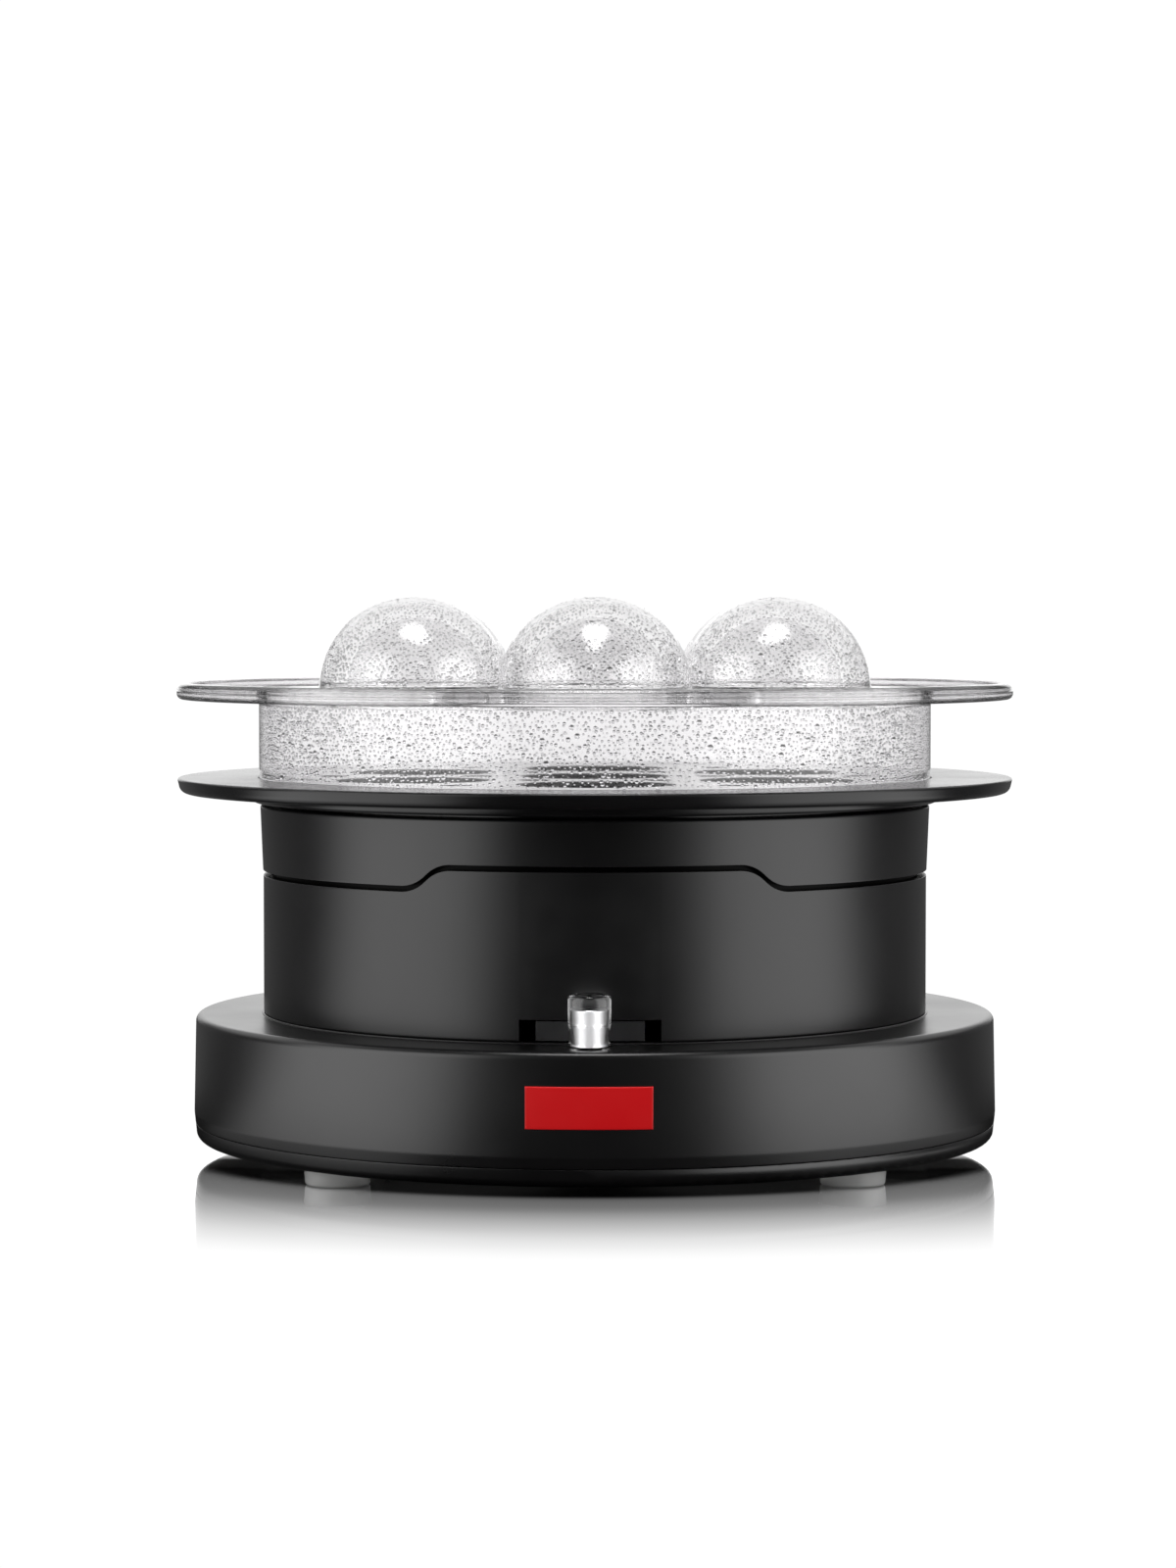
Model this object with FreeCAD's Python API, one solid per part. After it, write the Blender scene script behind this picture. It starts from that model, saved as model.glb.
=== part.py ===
"""Electric egg cooker for seven eggs: clear domed lid, egg tray, housed boiling pan and a wide round base.

Frame: millimetres, +Z up, origin at the centre of the circle the feet stand on, front of the cooker towards -Y.
Each function below makes one sub-part, and build() writes one STEP file per sub-part.
"""

import FreeCAD
import Part
import math
import os

Vector = FreeCAD.Vector
UP = Vector(0, 0, 1)
ORIGIN = Vector(0, 0, 0)

# ---------------------------------------------------------------- driving dimensions
FLANGE_R = 122.5        # lid flange and tray flange
BASE_R = 117.8          # widest point of the base
DECK_Z = 41.75          # top of the base's ledge
BODY_R = 97.4           # round body
WALL = 2.5              # moulded walls
SEAM_LOW_Z = 83.05      # seam between the two housings, round the sides and back
SEAM_HIGH_Z = 89.25     # the same seam across the front
SEAM_GAP = 1.45
TRAY_TOP_Z = 110.9      # top of the tray
SKIRT_SEAT_Z = 110.2    # floor of the tray's groove, where the lid stands
LID_PLATE_Z = 137.2     # top of the lid's flat plate, and centre of its domes
DOME_R = 27.1           # outside of a dome
CLEAR_WALL = 2.0        # wall of the clear lid
EGG_PITCH = 60.1        # from one egg to the next
SWITCH_TURN = -0.85     # degrees that the switch and the badge stand off the middle of the front
FOOT_R = 9.5
FOOT_RING_R = 101.3

EGG_ANGLES = [30 + 60 * i for i in range(6)]
FOOT_ANGLES = {"front_right": -45, "rear_right": 45, "rear_left": 135, "front_left": 225}


# ---------------------------------------------------------------- helpers
def polar(radius, degrees, z=0.0):
    """The point at that radius and angle about the vertical axis."""
    angle = math.radians(degrees)
    return Vector(radius * math.cos(angle), radius * math.sin(angle), z)


def rounded_wire(points, place):
    """A closed wire through 2D points (a, b) or (a, b, corner_radius); place turns (a, b) into a 3D point."""
    corners = []
    count = len(points)
    for i, point in enumerate(points):
        here = Vector(point[0], point[1], 0)
        radius = point[2] if len(point) > 2 else 0.0
        if not radius:
            corners.append((here, None, here))
            continue
        before = Vector(points[i - 1][0], points[i - 1][1], 0) - here
        after = Vector(points[(i + 1) % count][0], points[(i + 1) % count][1], 0) - here
        before.normalize()
        after.normalize()
        half = before.getAngle(after) / 2
        bisector = before + after
        bisector.normalize()
        centre = here + bisector * (radius / math.sin(half))
        reach = radius / math.tan(half)
        corners.append((here + before * reach, centre - bisector * radius, here + after * reach))
    edges = []
    for i, (first, middle, last) in enumerate(corners):
        if middle is not None:
            edges.append(Part.Arc(place(first), place(middle), place(last)).toShape())
        start = corners[(i + 1) % count][0]
        if (start - last).Length > 1e-6:
            edges.append(Part.makeLine(place(last), place(start)))
    return Part.Wire(edges)


def turned(points, degrees=360.0, first=0.0):
    """A solid of revolution about the vertical axis from an outline of (radius, height[, corner_radius])."""
    wire = rounded_wire(points, lambda p: Vector(p.x, 0, p.y))
    solid = Part.Face(wire).revolve(ORIGIN, UP, degrees)
    if first:
        solid.rotate(ORIGIN, UP, first)
    return solid


def ring(inner, outer, low, high):
    return turned([(inner, low), (outer, low), (outer, high), (inner, high)])


def sector(inner, outer, low, high, middle, half):
    """A piece of a ring, half degrees to each side of the angle called middle."""
    outline = [(inner, low), (outer, low), (outer, high), (inner, high)]
    return turned(outline, 2 * half, middle - half)


def rod(radius, low, high, x=0.0, y=0.0):
    return Part.makeCylinder(radius, high - low, Vector(x, y, low), UP)


def rod_at(radius, low, high, ring_radius, degrees):
    spot = polar(ring_radius, degrees)
    return rod(radius, low, high, spot.x, spot.y)


def rod_y(radius, near, far, x, z):
    """A round bar along Y from near to far."""
    return Part.makeCylinder(radius, far - near, Vector(x, near, z), Vector(0, 1, 0))


def block(x0, x1, y0, y1, z0, z1):
    return Part.makeBox(x1 - x0, y1 - y0, z1 - z0, Vector(x0, y0, z0))


def joined(first, *others):
    return first.fuse(list(others)).removeSplitter()


def cut(first, *others):
    return first.cut(list(others)).removeSplitter()


def egg_spots():
    """The seven egg positions: one in the middle and six round it."""
    return [ORIGIN] + [polar(EGG_PITCH, a) for a in EGG_ANGLES]


def at_eggs(shape):
    """Copies of shape at the seven egg positions."""
    return [shape.translated(spot) for spot in egg_spots()]


def screw(shank_r, head_r, head_low, head_high, tip, x, y):
    """A pan-head screw on a vertical axis, with a cross recess in the outer face of its head."""
    points_up = tip > head_high
    joint_z = head_high if points_up else head_low
    face_z = head_low if points_up else head_high
    shank = rod(shank_r, min(joint_z, tip), max(joint_z, tip), x, y)
    solid = joined(rod(head_r, head_low, head_high, x, y), shank)
    slot_depth = 0.4 * (head_high - head_low)
    slot_half = 0.6 * head_r
    slot_low, slot_high = (face_z, face_z + slot_depth) if points_up else (face_z - slot_depth, face_z)
    long_way = block(x - slot_half, x + slot_half, y - 0.3, y + 0.3, slot_low, slot_high)
    cross_way = block(x - 0.3, x + 0.3, y - slot_half, y + slot_half, slot_low, slot_high)
    return cut(solid, long_way, cross_way)


# ---------------------------------------------------------------- lid
SKIRT_R = 98.6
SKIRT_IN_R = SKIRT_R - CLEAR_WALL
PLATE_LOW_Z = LID_PLATE_Z - CLEAR_WALL
BEAD_WIDTH = 3.0
BEAD_LOW_Z = 133.8
BEAD_HIGH_Z = 138.6
DOME_IN_R = DOME_R - CLEAR_WALL
DOME_ROOT = 1.2
VENT_R = 2.0


def dome_shell():
    """Half a hollow ball with a short straight foot and a concave root fillet round its outside."""
    top = math.sqrt(0.5)
    outer = Part.Arc(Vector(DOME_R, 0, LID_PLATE_Z), Vector(DOME_R * top, 0, LID_PLATE_Z + DOME_R * top),
                     Vector(0, 0, LID_PLATE_Z + DOME_R)).toShape()
    inner = Part.Arc(Vector(0, 0, LID_PLATE_Z + DOME_IN_R),
                     Vector(DOME_IN_R * top, 0, LID_PLATE_Z + DOME_IN_R * top),
                     Vector(DOME_IN_R, 0, LID_PLATE_Z)).toShape()
    foot = [Vector(DOME_IN_R, 0, LID_PLATE_Z), Vector(DOME_IN_R, 0, PLATE_LOW_Z),
            Vector(DOME_R, 0, PLATE_LOW_Z), Vector(DOME_R, 0, LID_PLATE_Z)]
    edges = [outer, Part.makeLine(outer.Vertexes[-1].Point, inner.Vertexes[0].Point), inner]
    edges += [Part.makeLine(a, b) for a, b in zip(foot, foot[1:])]
    return Part.Face(Part.Wire(edges)).revolve(ORIGIN, UP, 360)


def dome_root():
    """The concave fillet between a dome and the plate."""
    low = LID_PLATE_Z
    inset = DOME_ROOT * (1 - math.sqrt(0.5))
    arc = Part.Arc(Vector(DOME_R + DOME_ROOT, 0, low), Vector(DOME_R + inset, 0, low + inset),
                   Vector(DOME_R, 0, low + DOME_ROOT)).toShape()
    lines = [Vector(DOME_R, 0, low + DOME_ROOT), Vector(DOME_R - 1, 0, low + DOME_ROOT),
             Vector(DOME_R - 1, 0, low), Vector(DOME_R + DOME_ROOT, 0, low)]
    edges = [arc] + [Part.makeLine(a, b) for a, b in zip(lines, lines[1:])]
    return Part.Face(Part.Wire(edges)).revolve(ORIGIN, UP, 360)


def lid():
    """One clear moulding: skirt, flat plate with a thick beaded edge, and seven domes, the middle one vented."""
    outline = [
        (SKIRT_IN_R, SKIRT_SEAT_Z, 0.5), (SKIRT_R, SKIRT_SEAT_Z, 0.5), (SKIRT_R, PLATE_LOW_Z, 1.0),
        (FLANGE_R - BEAD_WIDTH, PLATE_LOW_Z, 0.6), (FLANGE_R - BEAD_WIDTH, BEAD_LOW_Z, 0.5),
        (FLANGE_R, BEAD_LOW_Z, 1.6), (FLANGE_R, BEAD_HIGH_Z, 1.6), (FLANGE_R - BEAD_WIDTH, BEAD_HIGH_Z, 0.7),
        (FLANGE_R - BEAD_WIDTH, LID_PLATE_Z, 0.6), (0, LID_PLATE_Z), (0, PLATE_LOW_Z),
        (SKIRT_IN_R, PLATE_LOW_Z, 3.0),
    ]
    plate = turned(outline)
    plate = cut(plate, *at_eggs(rod(DOME_R - 0.5, PLATE_LOW_Z - 1, LID_PLATE_Z + 1)))
    body = joined(plate, *at_eggs(dome_shell()))
    roots = at_eggs(cut(dome_root(), rod(DOME_R - 0.5, LID_PLATE_Z - 1, LID_PLATE_Z + DOME_ROOT + 1)))
    body = joined(body, *roots)
    return cut(body, rod(VENT_R, LID_PLATE_Z + DOME_IN_R - 3, LID_PLATE_Z + DOME_R + 1))


# ---------------------------------------------------------------- egg tray
TRAY_FLANGE_LOW_Z = 106.5
LIP_R = 100.8
LIP_LOW_Z = 103.7
TRAY_WALL_R = 92.4
TRAY_WALL = 2.4
TRAY_FOOT_Z = 92.3      # the tray stands here, on the pan's rim
TRAY_PLATE = 2.4
SEAT_TOP_R = 22.0
SEAT_LOW_R = 16.6
SEAT_LOW_Z = 95.0
SEAT_WALL = 1.8


def egg_seat():
    """A cup without a floor: a tapered wall that an egg sits down in."""
    plate_low = TRAY_TOP_Z - TRAY_PLATE
    return turned([
        (SEAT_LOW_R, SEAT_LOW_Z, 0.6), (SEAT_LOW_R + SEAT_WALL, SEAT_LOW_Z, 0.6),
        (SEAT_TOP_R + SEAT_WALL, plate_low), (SEAT_TOP_R + SEAT_WALL, TRAY_TOP_Z),
        (SEAT_TOP_R, TRAY_TOP_Z, 0.8),
    ])


def egg_tray():
    """Black tray: carrying flange, lip ring, standing wall, a plate with seven seats and steam holes."""
    plate_low = TRAY_TOP_Z - TRAY_PLATE
    inner = TRAY_WALL_R - TRAY_WALL
    groove_in, groove_out = SKIRT_IN_R - 0.4, SKIRT_R + 0.4
    body = turned([
        (inner, TRAY_FOOT_Z, 0.4), (TRAY_WALL_R, TRAY_FOOT_Z, 0.4), (TRAY_WALL_R, plate_low, 1.0),
        (LIP_R - TRAY_WALL, plate_low, 1.0), (LIP_R - TRAY_WALL, LIP_LOW_Z, 0.5), (LIP_R, LIP_LOW_Z, 1.3),
        (LIP_R, TRAY_FLANGE_LOW_Z, 0.5), (FLANGE_R - 1.0, TRAY_FLANGE_LOW_Z, 2.4), (FLANGE_R, TRAY_TOP_Z, 0.7),
        (groove_out, TRAY_TOP_Z), (groove_out, SKIRT_SEAT_Z), (groove_in, SKIRT_SEAT_Z),
        (groove_in, TRAY_TOP_Z), (0, TRAY_TOP_Z), (0, plate_low), (inner, plate_low, 1.5),
    ])
    body = cut(body, *at_eggs(rod(SEAT_TOP_R + 0.9, SEAT_LOW_Z, TRAY_TOP_Z + 1)))
    body = joined(body, *at_eggs(egg_seat()))
    gap_ring_r = EGG_PITCH / math.sqrt(3)
    inner_holes = [rod_at(4.5, plate_low - 1, TRAY_TOP_Z + 1, gap_ring_r, 60 * i) for i in range(6)]
    outer_holes = [rod_at(4.0, plate_low - 1, TRAY_TOP_Z + 1, 77.0, 60 * i) for i in range(6)]
    return cut(body, *inner_holes, *outer_holes)


# ---------------------------------------------------------------- housings
HOUSING_LOW_Z = 42.15
HOUSING_TOP_R = 98.3
HOUSING_TOP_Z = 102.8
SEAM_STEP_HIGH_X = 39.6     # the front seam is high inside this half width
SEAM_STEP_LOW_X = 53.6      # and low outside this one
SEAM_SLOPE = 43.0           # steepest angle of the step
SPIGOT_R = 94.6
SPIGOT_IN_R = 92.2
SPIGOT_LOW_Z = 76.0
LEDGE_R = 84.0
LEDGE_Z = 90.5
NOTCH_HALF = 19.4
NOTCH_TOP_Z = 48.3
FLOOR_R = 84.0
TIE_RING_R = 89.0
TIE_ANGLES = [30, 150, 250]
BODY_SCREW_R = 89.4
BODY_SCREW_ANGLES = [0, 60, 120, 180, 225, 315]


def seam_blade(offset):
    """Everything at the front above the seam, and above its low level elsewhere, moved up by offset."""
    rise = SEAM_HIGH_Z - SEAM_LOW_Z
    run = SEAM_STEP_LOW_X - SEAM_STEP_HIGH_X
    slope = math.radians(SEAM_SLOPE)
    # Each step is an arc, a straight slope and an arc back, tangent to one another.
    bend = (run * math.sin(slope) - rise * math.cos(slope)) / (2 - 2 * math.cos(slope))
    straight = (rise - 2 * bend * (1 - math.cos(slope))) / math.sin(slope)
    low, high = SEAM_LOW_Z + offset, SEAM_HIGH_Z + offset
    far, top = 2 * BODY_R, TRAY_TOP_Z + 20

    def step(side):
        """The points of one step from the low level to the high one, with the middle point of each arc."""
        half = slope / 2
        xs = [0.0, bend * math.sin(half), bend * math.sin(slope)]
        zs = [0.0, bend * (1 - math.cos(half)), bend * (1 - math.cos(slope))]
        xs += [xs[2] + straight * math.cos(slope)]
        zs += [zs[2] + straight * math.sin(slope)]
        xs += [run - xs[1], run]
        zs += [rise - zs[1], rise]
        return [Vector(side * (SEAM_STEP_LOW_X - x), 0, low + z) for x, z in zip(xs, zs)]

    left, right = step(-1), step(1)
    edges = []
    for points in (left, right):
        edges.append(Part.Arc(*points[:3]).toShape())
        edges.append(Part.makeLine(points[2], points[3]))
        edges.append(Part.Arc(*points[3:]).toShape())
    edges.append(Part.makeLine(Vector(-far, 0, low), left[0]))
    edges.append(Part.makeLine(left[-1], right[-1]))
    edges.append(Part.makeLine(right[0], Vector(far, 0, low)))
    edges.append(Part.makeLine(Vector(far, 0, low), Vector(far, 0, top)))
    edges.append(Part.makeLine(Vector(far, 0, top), Vector(-far, 0, top)))
    edges.append(Part.makeLine(Vector(-far, 0, top), Vector(-far, 0, low)))
    face = Part.Face(Part.Wire(Part.__sortEdges__(edges)))
    front = face.extrude(Vector(0, -far, 0))
    back = block(-far, far, 0, far, low, top)
    return front.fuse(back).removeSplitter()


def lower_housing():
    """Round wall with an inward floor, six screw bosses, three tie-screw pillars and the switch notch."""
    blade = seam_blade(-SEAM_GAP / 2)
    outline = [
        (FLOOR_R, HOUSING_LOW_Z), (BODY_R, HOUSING_LOW_Z, 0.5), (BODY_R, SEAM_HIGH_Z + 2),
        (BODY_R - WALL, SEAM_HIGH_Z + 2), (BODY_R - WALL, HOUSING_LOW_Z + WALL, 1.0),
        (FLOOR_R, HOUSING_LOW_Z + WALL),
    ]
    body = cut(turned(outline), blade)
    bosses = [rod_at(3.6, HOUSING_LOW_Z, 50.0, BODY_SCREW_R, a) for a in BODY_SCREW_ANGLES]
    pillars = [rod_at(4.2, HOUSING_LOW_Z, SHIELD_RIM_LOW_Z, TIE_RING_R, a) for a in TIE_ANGLES]
    body = joined(body, *bosses, *pillars)
    pilots = [rod_at(1.5, HOUSING_LOW_Z - 1, 48.5, BODY_SCREW_R, a) for a in BODY_SCREW_ANGLES]
    tie_holes = [rod_at(1.8, HOUSING_LOW_Z - 1, SHIELD_RIM_LOW_Z + 1, TIE_RING_R, a) for a in TIE_ANGLES]
    tie_sinks = [rod_at(3.2, HOUSING_LOW_Z - 1, HOUSING_LOW_Z + 2.2, TIE_RING_R, a) for a in TIE_ANGLES]
    notch = block(-NOTCH_HALF, NOTCH_HALF, -BODY_R - 5, -FLOOR_R + 6, HOUSING_LOW_Z - 1, NOTCH_TOP_Z)
    notch.rotate(ORIGIN, UP, SWITCH_TURN)
    return cut(body, *pilots, *tie_holes, *tie_sinks, notch)


def upper_housing():
    """Collar above the seam: slightly tapered wall, inner spigot, the pan's ledge and three screw bosses."""
    outline = [
        (SPIGOT_IN_R, SPIGOT_LOW_Z, 0.4), (SPIGOT_R, SPIGOT_LOW_Z, 0.4), (SPIGOT_R, SEAM_LOW_Z - 2),
        (BODY_R + 0.1, SEAM_LOW_Z - 2), (HOUSING_TOP_R, HOUSING_TOP_Z, 0.7), (94.8, HOUSING_TOP_Z, 0.5),
        (94.0, LEDGE_Z, 1.5), (LEDGE_R, LEDGE_Z), (LEDGE_R, LEDGE_Z - WALL), (SPIGOT_IN_R, LEDGE_Z - WALL, 1.0),
    ]
    body = turned(outline)
    outer_only = ring(SPIGOT_R, BODY_R + 5, 60, TRAY_TOP_Z)
    body = cut(body, outer_only.cut(seam_blade(SEAM_GAP / 2)))
    bosses = [rod_at(4.2, SPIGOT_LOW_Z, LEDGE_Z - 1, TIE_RING_R, a) for a in TIE_ANGLES]
    body = joined(body, *[b.common(rod(SPIGOT_R - 0.5, 60, TRAY_TOP_Z)) for b in bosses])
    pilots = [rod_at(1.5, SPIGOT_LOW_Z - 1, 86.0, TIE_RING_R, a) for a in TIE_ANGLES]
    return cut(body, *pilots)


def tie_screws():
    """Three long screws that pull the collar down on the lower housing's pillars."""
    spots = [polar(TIE_RING_R, a) for a in TIE_ANGLES]
    return [screw(1.5, 3.0, HOUSING_LOW_Z + 0.2, HOUSING_LOW_Z + 2.2, 85.5, p.x, p.y) for p in spots]


# ---------------------------------------------------------------- boiling pan and heater
PAN_SHEET = 0.8
PAN_RIM_R = 91.5
PAN_RIM_LOW_Z = 91.5
PAN_WALL_R = 82.4
PAN_FLOOR_Z = 66.0      # underside of the pan's floor
HEATER_PLATE_R = 60.0
HEATER_PLATE_LOW_Z = 63.0
ELEMENT_R = 46.0
ELEMENT_TUBE_R = 3.2
ELEMENT_END_DEG = 22.0  # half the gap in the ring, at the rear
ELEMENT_END_BEND = 7.0
SHIELD_RIM_LOW_Z = 75.2
SHIELD_SHEET = 0.8
SHIELD_FLOOR_Z = 50.0
STUD_R = 2.0
STUD_RING_R = 27.0
STUD_ANGLES = [30, 150, 270]
NUT_LOW_Z = 46.8


def boiling_pan():
    """Pressed steel pan: flat rim, straight side and a floor with rounded corners."""
    high = PAN_RIM_LOW_Z + PAN_SHEET
    return turned([
        (0, PAN_FLOOR_Z), (PAN_WALL_R, PAN_FLOOR_Z, 6.0), (PAN_WALL_R, PAN_RIM_LOW_Z, 1.0),
        (PAN_RIM_R, PAN_RIM_LOW_Z), (PAN_RIM_R, high), (PAN_WALL_R - PAN_SHEET, high, 1.8),
        (PAN_WALL_R - PAN_SHEET, PAN_FLOOR_Z + PAN_SHEET, 5.2), (0, PAN_FLOOR_Z + PAN_SHEET),
    ])


def pan_seal():
    """Flat silicone gasket between the collar's ledge and the pan's rim."""
    return ring(LEDGE_R + 0.6, PAN_RIM_R, LEDGE_Z, PAN_RIM_LOW_Z)


def heater_plate():
    """Aluminium disc that spreads the heat under the pan."""
    disc = turned([(0, HEATER_PLATE_LOW_Z), (HEATER_PLATE_R, HEATER_PLATE_LOW_Z, 0.8),
                   (HEATER_PLATE_R, PAN_FLOOR_Z, 0.8), (0, PAN_FLOOR_Z)])
    return cut(disc, *[rod_at(STUD_R, 60, 67, STUD_RING_R, a) for a in STUD_ANGLES])


def heating_element():
    """Tubular heater bent to an open ring, with both ends turned down."""
    centre_z = HEATER_PLATE_LOW_Z - ELEMENT_TUBE_R
    start, end = 90 + ELEMENT_END_DEG, 450 - ELEMENT_END_DEG
    main = Part.Arc(polar(ELEMENT_R, start, centre_z), polar(ELEMENT_R, (start + end) / 2, centre_z),
                    polar(ELEMENT_R, end, centre_z)).toShape()
    edges = [main]
    for degrees, side in ((start, -1), (end, 1)):
        tip = polar(ELEMENT_R, degrees, centre_z)
        along = polar(1, degrees + side * 90)
        middle = tip + along * (ELEMENT_END_BEND * math.sqrt(0.5))
        middle = middle - UP * (ELEMENT_END_BEND * (1 - math.sqrt(0.5)))
        low = tip + along * ELEMENT_END_BEND - UP * ELEMENT_END_BEND
        edges.append(Part.Arc(tip, middle, low).toShape())
        edges.append(Part.makeLine(low, Vector(low.x, low.y, SHIELD_FLOOR_Z - 2.5)))
    path = Part.Wire(Part.__sortEdges__(edges))
    first = path.OrderedEdges[0]
    at = first.Vertexes[0].Point if first.Vertexes[0].Point.z < 50 else first.Vertexes[-1].Point
    section = Part.Wire(Part.Circle(at, UP, ELEMENT_TUBE_R).toShape())
    return path.makePipeShell([section], True, True)


def element_end(side):
    """Where one end of the heating element comes down."""
    degrees = 90 - side * ELEMENT_END_DEG
    return polar(ELEMENT_R, degrees) + polar(1, degrees + side * 90) * ELEMENT_END_BEND


def element_terminals():
    """The heater's two cold pins, each in a white bead below the tube's end."""
    pins = []
    for side in (-1, 1):
        spot = element_end(side)
        bead = rod(2.6, SHIELD_FLOOR_Z - 5.0, SHIELD_FLOOR_Z - 2.5, spot.x, spot.y)
        pins.append(joined(bead, rod(1.1, SHIELD_FLOOR_Z - 10.0, SHIELD_FLOOR_Z - 5.0, spot.x, spot.y)))
    return pins


def heat_shield():
    """Thin dish round the heater: its rim is clamped under the collar, its floor hangs on the studs."""
    rim_r = SPIGOT_R - 0.4
    wall_r = PAN_WALL_R + 1.6
    low, high = SHIELD_FLOOR_Z, SHIELD_RIM_LOW_Z
    body = turned([
        (12.5, low), (wall_r, low, 3.0), (wall_r, high, 0.8), (rim_r, high), (rim_r, high + SHIELD_SHEET),
        (wall_r - SHIELD_SHEET, high + SHIELD_SHEET, 1.6), (wall_r - SHIELD_SHEET, low + SHIELD_SHEET, 2.2),
        (12.5, low + SHIELD_SHEET),
    ])
    ties = [rod_at(1.8, high - 1, high + 2, TIE_RING_R, a) for a in TIE_ANGLES]
    studs = [rod_at(STUD_R + 0.1, low - 1, low + 2, STUD_RING_R, a) for a in STUD_ANGLES]
    ends = [rod(5.0, low - 1, low + 2, element_end(s).x, element_end(s).y) for s in (-1, 1)]
    vents = [rod_at(3.0, low - 1, low + 2, 68.0, 15 + 30 * i) for i in range(12)]
    return cut(body, *ties, *studs, *ends, *vents)


def pan_studs():
    return [rod_at(STUD_R, NUT_LOW_Z - 1.5, PAN_FLOOR_Z, STUD_RING_R, a) for a in STUD_ANGLES]


def stud_nuts():
    """Hexagon nuts under the shield's floor."""
    nuts = []
    for angle in STUD_ANGLES:
        spot = polar(STUD_RING_R, angle)
        corners = [spot + polar(4.0, 60 * i, NUT_LOW_Z) for i in range(7)]
        prism = Part.Face(Part.makePolygon(corners)).extrude(Vector(0, 0, SHIELD_FLOOR_Z - NUT_LOW_Z))
        nuts.append(cut(prism, rod_at(STUD_R, 40, 60, STUD_RING_R, angle)))
    return nuts


THERMOSTAT_LOW_Z = 53.5
THERMOSTAT_BLADE_X = 4.2


def thermostat():
    """Snap-disc thermostat: steel cap against the heater plate on a round moulded body."""
    cap = turned([(0, 60.2), (8.6, 60.2), (8.6, HEATER_PLATE_LOW_Z, 1.0), (0, HEATER_PLATE_LOW_Z)])
    return joined(cap, rod(7.6, THERMOSTAT_LOW_Z, 60.2))


def thermostat_blades():
    low, high = THERMOSTAT_LOW_Z - 7.0, THERMOSTAT_LOW_Z
    return [block(x - 0.4, x + 0.4, -3.1, 3.1, low, high) for x in (-THERMOSTAT_BLADE_X, THERMOSTAT_BLADE_X)]


def thermal_fuse():
    """One-shot fuse: a small can lying under the heater plate."""
    return rod_y(2.0, 13.0, 24.0, 13.5, HEATER_PLATE_LOW_Z - 2.0)


def fuse_clip():
    """Spring-steel saddle that holds the fuse against the heater plate."""
    saddle = rod_y(2.7, 16.0, 21.0, 13.5, HEATER_PLATE_LOW_Z - 2.0)
    saddle = cut(saddle, rod_y(2.0, 15.0, 22.0, 13.5, HEATER_PLATE_LOW_Z - 2.0))
    ears = block(9.0, 18.0, 16.0, 21.0, HEATER_PLATE_LOW_Z - 0.7, HEATER_PLATE_LOW_Z)
    ears = cut(ears, rod_y(2.4, 15.0, 22.0, 13.5, HEATER_PLATE_LOW_Z - 2.0))
    above = block(0, 30, 10, 30, HEATER_PLATE_LOW_Z, HEATER_PLATE_LOW_Z + 5)
    mouth = block(12.2, 14.8, 10, 30, HEATER_PLATE_LOW_Z - 1.2, HEATER_PLATE_LOW_Z + 5)
    return cut(joined(saddle, ears), above, mouth)


# ---------------------------------------------------------------- base
BASE_WALL = 2.6
DECK_HOLE_R = 84.0
PARTING_Z = 10.3
PLATE_BOTTOM_Z = 5.2
PLATE_FLOOR = 2.2
COLLAR_R = 97.9
COLLAR_Z = 42.1
BASE_BOSS_R = 103.0
BASE_BOSS_ANGLES = [15, 75, 105, 165, 195, 345]
GLAND_Z = 23.0
GLAND_BORE_R = 3.6
GLAND_NECK_R = 5.4
BADGE_LOW_Z = 20.9
BADGE_HIGH_Z = 32.5
BADGE_HALF_DEG = 8.38
BADGE_BACK_R = 116.7
BADGE_DEG = SWITCH_TURN - 90


def base_shell():
    """Wide round cover: side wall, flat ledge and the low collar that the housing stands on."""
    inner = BASE_R - BASE_WALL
    body = turned([
        (inner - 0.6, PARTING_Z), (BASE_R - 0.3, PARTING_Z, 0.15), (BASE_R, PARTING_Z + 3.0, 6.0),
        (BASE_R - 0.6, DECK_Z, 2.0), (COLLAR_R, DECK_Z), (COLLAR_R, COLLAR_Z, 0.35), (95.2, COLLAR_Z),
        (95.2, DECK_Z), (DECK_HOLE_R, DECK_Z), (DECK_HOLE_R, DECK_Z - BASE_WALL),
        (inner - 0.7, DECK_Z - BASE_WALL, 2.0), (inner, PARTING_Z + 4.0, 6.0),
    ])
    deck_low = DECK_Z - BASE_WALL
    boss_low = PLATE_BOTTOM_Z + PLATE_FLOOR + 3.0
    bosses = [rod_at(4.4, boss_low, deck_low + 1, BASE_BOSS_R, a) for a in BASE_BOSS_ANGLES]
    body = joined(body, *bosses)
    pilots = [rod_at(1.5, 5, 26, BASE_BOSS_R, a) for a in BASE_BOSS_ANGLES]
    screw_holes = [rod_at(1.8, deck_low - 1, DECK_Z + 1, BODY_SCREW_R, a) for a in BODY_SCREW_ANGLES]
    finger_slot = block(-12, 12, -93.6, -80, deck_low - 1, COLLAR_Z + 1)
    gland_hole = rod_y(GLAND_NECK_R, 108, 125, 0, GLAND_Z)
    pocket = sector(BADGE_BACK_R, BASE_R + 2, BADGE_LOW_Z - 0.1, BADGE_HIGH_Z + 0.1, BADGE_DEG, BADGE_HALF_DEG + 0.05)
    return cut(body, *pilots, *screw_holes, finger_slot, gland_hole, pocket)


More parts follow.
